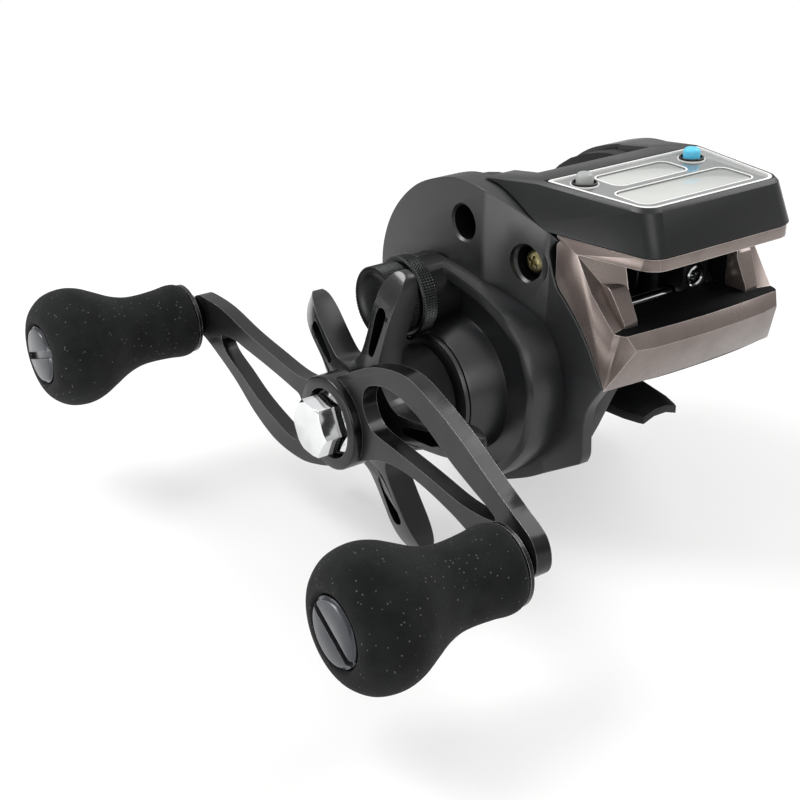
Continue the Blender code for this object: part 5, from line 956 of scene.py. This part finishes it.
def build_front_cover():
    """The lacquered nose, black inside its window, with the two posts at the window's sides."""
    nose = dressed("front_cover", "nose", 0.16, 2, angle=18, smooth=30)
    # the window's inside takes the dark look: bare black plastic on the sill and walls, painted shade
    # on the ceiling
    two_looks(nose, "nose", "inside", lambda at, facing:
              abs(at.y) < 13.5 and at.x < 38.6 and 22.9 < at.z < 35.4
              and (abs(facing.z) > 0.95 or abs(facing.y) > 0.95 or facing.x < -0.5), whole=False)
    top = 30.0
    form = [(30.4, 23.1), (35.6, 23.1), (35.4, 24.2), (32.5, 29.6), (31.9, top), (30.4, top)]
    for side, name in ((-1, "handle_side_window_post"), (1, "palm_side_window_post")):
        post = plate(name, form, side * 13.25, side * 17.3)
        for v in post.data.vertices:
            # the outer face leans in towards the foot
            if abs(v.co.y) / MM > 15:
                v.co.y -= side * max(top - v.co.z / MM, 0) * 0.16 * MM
        soften(post, 0.12, 2, 25)
        settle(post, "nose", body="frame")


# -------- floor, light and camera

def build_floor():
    """Paper that keeps the shadows near the reel and runs out into white further off."""
    bpy.ops.mesh.primitive_plane_add(size=6.0, location=(0, 0, CAD_BOX[0][2]))
    floor = bpy.context.object
    floor.name = "studio_floor"
    look, tree, shader = blank("studio paper white", 0.9)
    shader.inputs["Base Color"].default_value = linear("#f4f4f3")
    glow = add_node(tree, "Emission", {}, {"Color": (1, 1, 1, 1), "Strength": 1.0})
    path = add_node(tree, "LightPath")
    seen = worked_out(tree, "MAXIMUM", path.outputs["Is Camera Ray"], path.outputs["Is Glossy Ray"])
    away = add_node(tree, "VectorMath", {"operation": "LENGTH"},
                    {0: add_node(tree, "TexCoord").outputs["Object"]}).outputs["Value"]
    share = worked_out(tree, "MULTIPLY", seen, scaled(tree, away, 0.16, 0.5, 0.5, 1.0))
    both = add_node(tree, "MixShader", {}, {0: share, 1: shader.outputs[0], 2: glow.outputs[0]})
    tree.links.new(both.outputs[0], tree.nodes["Material Output"].inputs["Surface"])
    floor.data.materials.append(look)


def build_sky():
    """A white tent: bright to the camera, dimmer as a light, and dark low down in reflections."""
    world = bpy.data.worlds.new("soft tent")
    bpy.context.scene.world = world
    world.use_nodes = True
    sky = world.node_tree
    path = add_node(sky, "LightPath").outputs
    seen = worked_out(sky, "MAXIMUM", path["Is Camera Ray"], path["Is Transmission Ray"])
    way = add_node(sky, "TexCoord").outputs["Generated"]
    up = add_node(sky, "SeparateXYZ", {}, {0: way}).outputs["Z"]
    glossy = worked_out(sky, "MULTIPLY", path["Is Glossy Ray"], scaled(sky, up, 0.0, 0.8, 0.3, 1.0))
    strength = worked_out(sky, "MAXIMUM", worked_out(sky, "MAXIMUM", seen, glossy), 0.45)
    background = sky.nodes["Background"]
    background.inputs["Color"].default_value = (1, 1, 1, 1)
    sky.links.new(strength, background.inputs["Strength"])


def build_lamps():
    for name, (place, size, power) in LAMPS.items():
        lamp = bpy.data.lights.new(name, "AREA")
        lamp.size = size
        lamp.energy = power
        holder = bpy.data.objects.new(name, lamp)
        bpy.context.scene.collection.objects.link(holder)
        holder.location = place
        holder.visible_camera = False
        holder.rotation_euler = (Vector(LAMP_AIM) - Vector(place)).to_track_quat("-Z", "Y").to_euler()


def build_camera():
    view = bpy.data.cameras.new("photo_view")
    view.lens = CAMERA_LENS
    view.sensor_width = 36.0
    camera = bpy.data.objects.new("photo_view", view)
    bpy.context.scene.collection.objects.link(camera)
    a, e, r = (math.radians(turn) for turn in CAMERA_TURNS)
    back = Vector((math.sin(a) * math.cos(e), -math.cos(a) * math.cos(e), math.sin(e)))
    right = Vector((math.cos(a), math.sin(a), 0))
    up = back.cross(right)
    right, up = math.cos(r) * right + math.sin(r) * up, -math.sin(r) * right + math.cos(r) * up
    facing = Matrix((right, up, back)).transposed().to_4x4()
    camera.matrix_world = Matrix.Translation(CAMERA_PLACE) @ facing
    bpy.context.scene.camera = camera
    bpy.context.scene.view_settings.view_transform = "Standard"


# -------- the whole scene

build_handle_side_cover()
build_palm_side_cover()
build_brake_dial()
build_arm()
build_knobs()
build_star()
build_nut()
build_cast_cap()
build_display()
build_screws()
build_spool()
build_level_wind()
build_frame()
dressed("reel_foot", "frame", 0.3, 3, angle=40)
build_front_cover()
dressed("display_housing", "housing", 0.45, 4, angle=24, smooth=40)
dressed("thumb_bar", "housing", 0.4, 3)
for look, nodes in KEPT_NODES.items():
    for node in nodes.split():
        NODES[node].data.materials.clear()
        NODES[node].data.materials.append(LOOKS[look])
build_floor()
build_sky()
build_lamps()
build_camera()
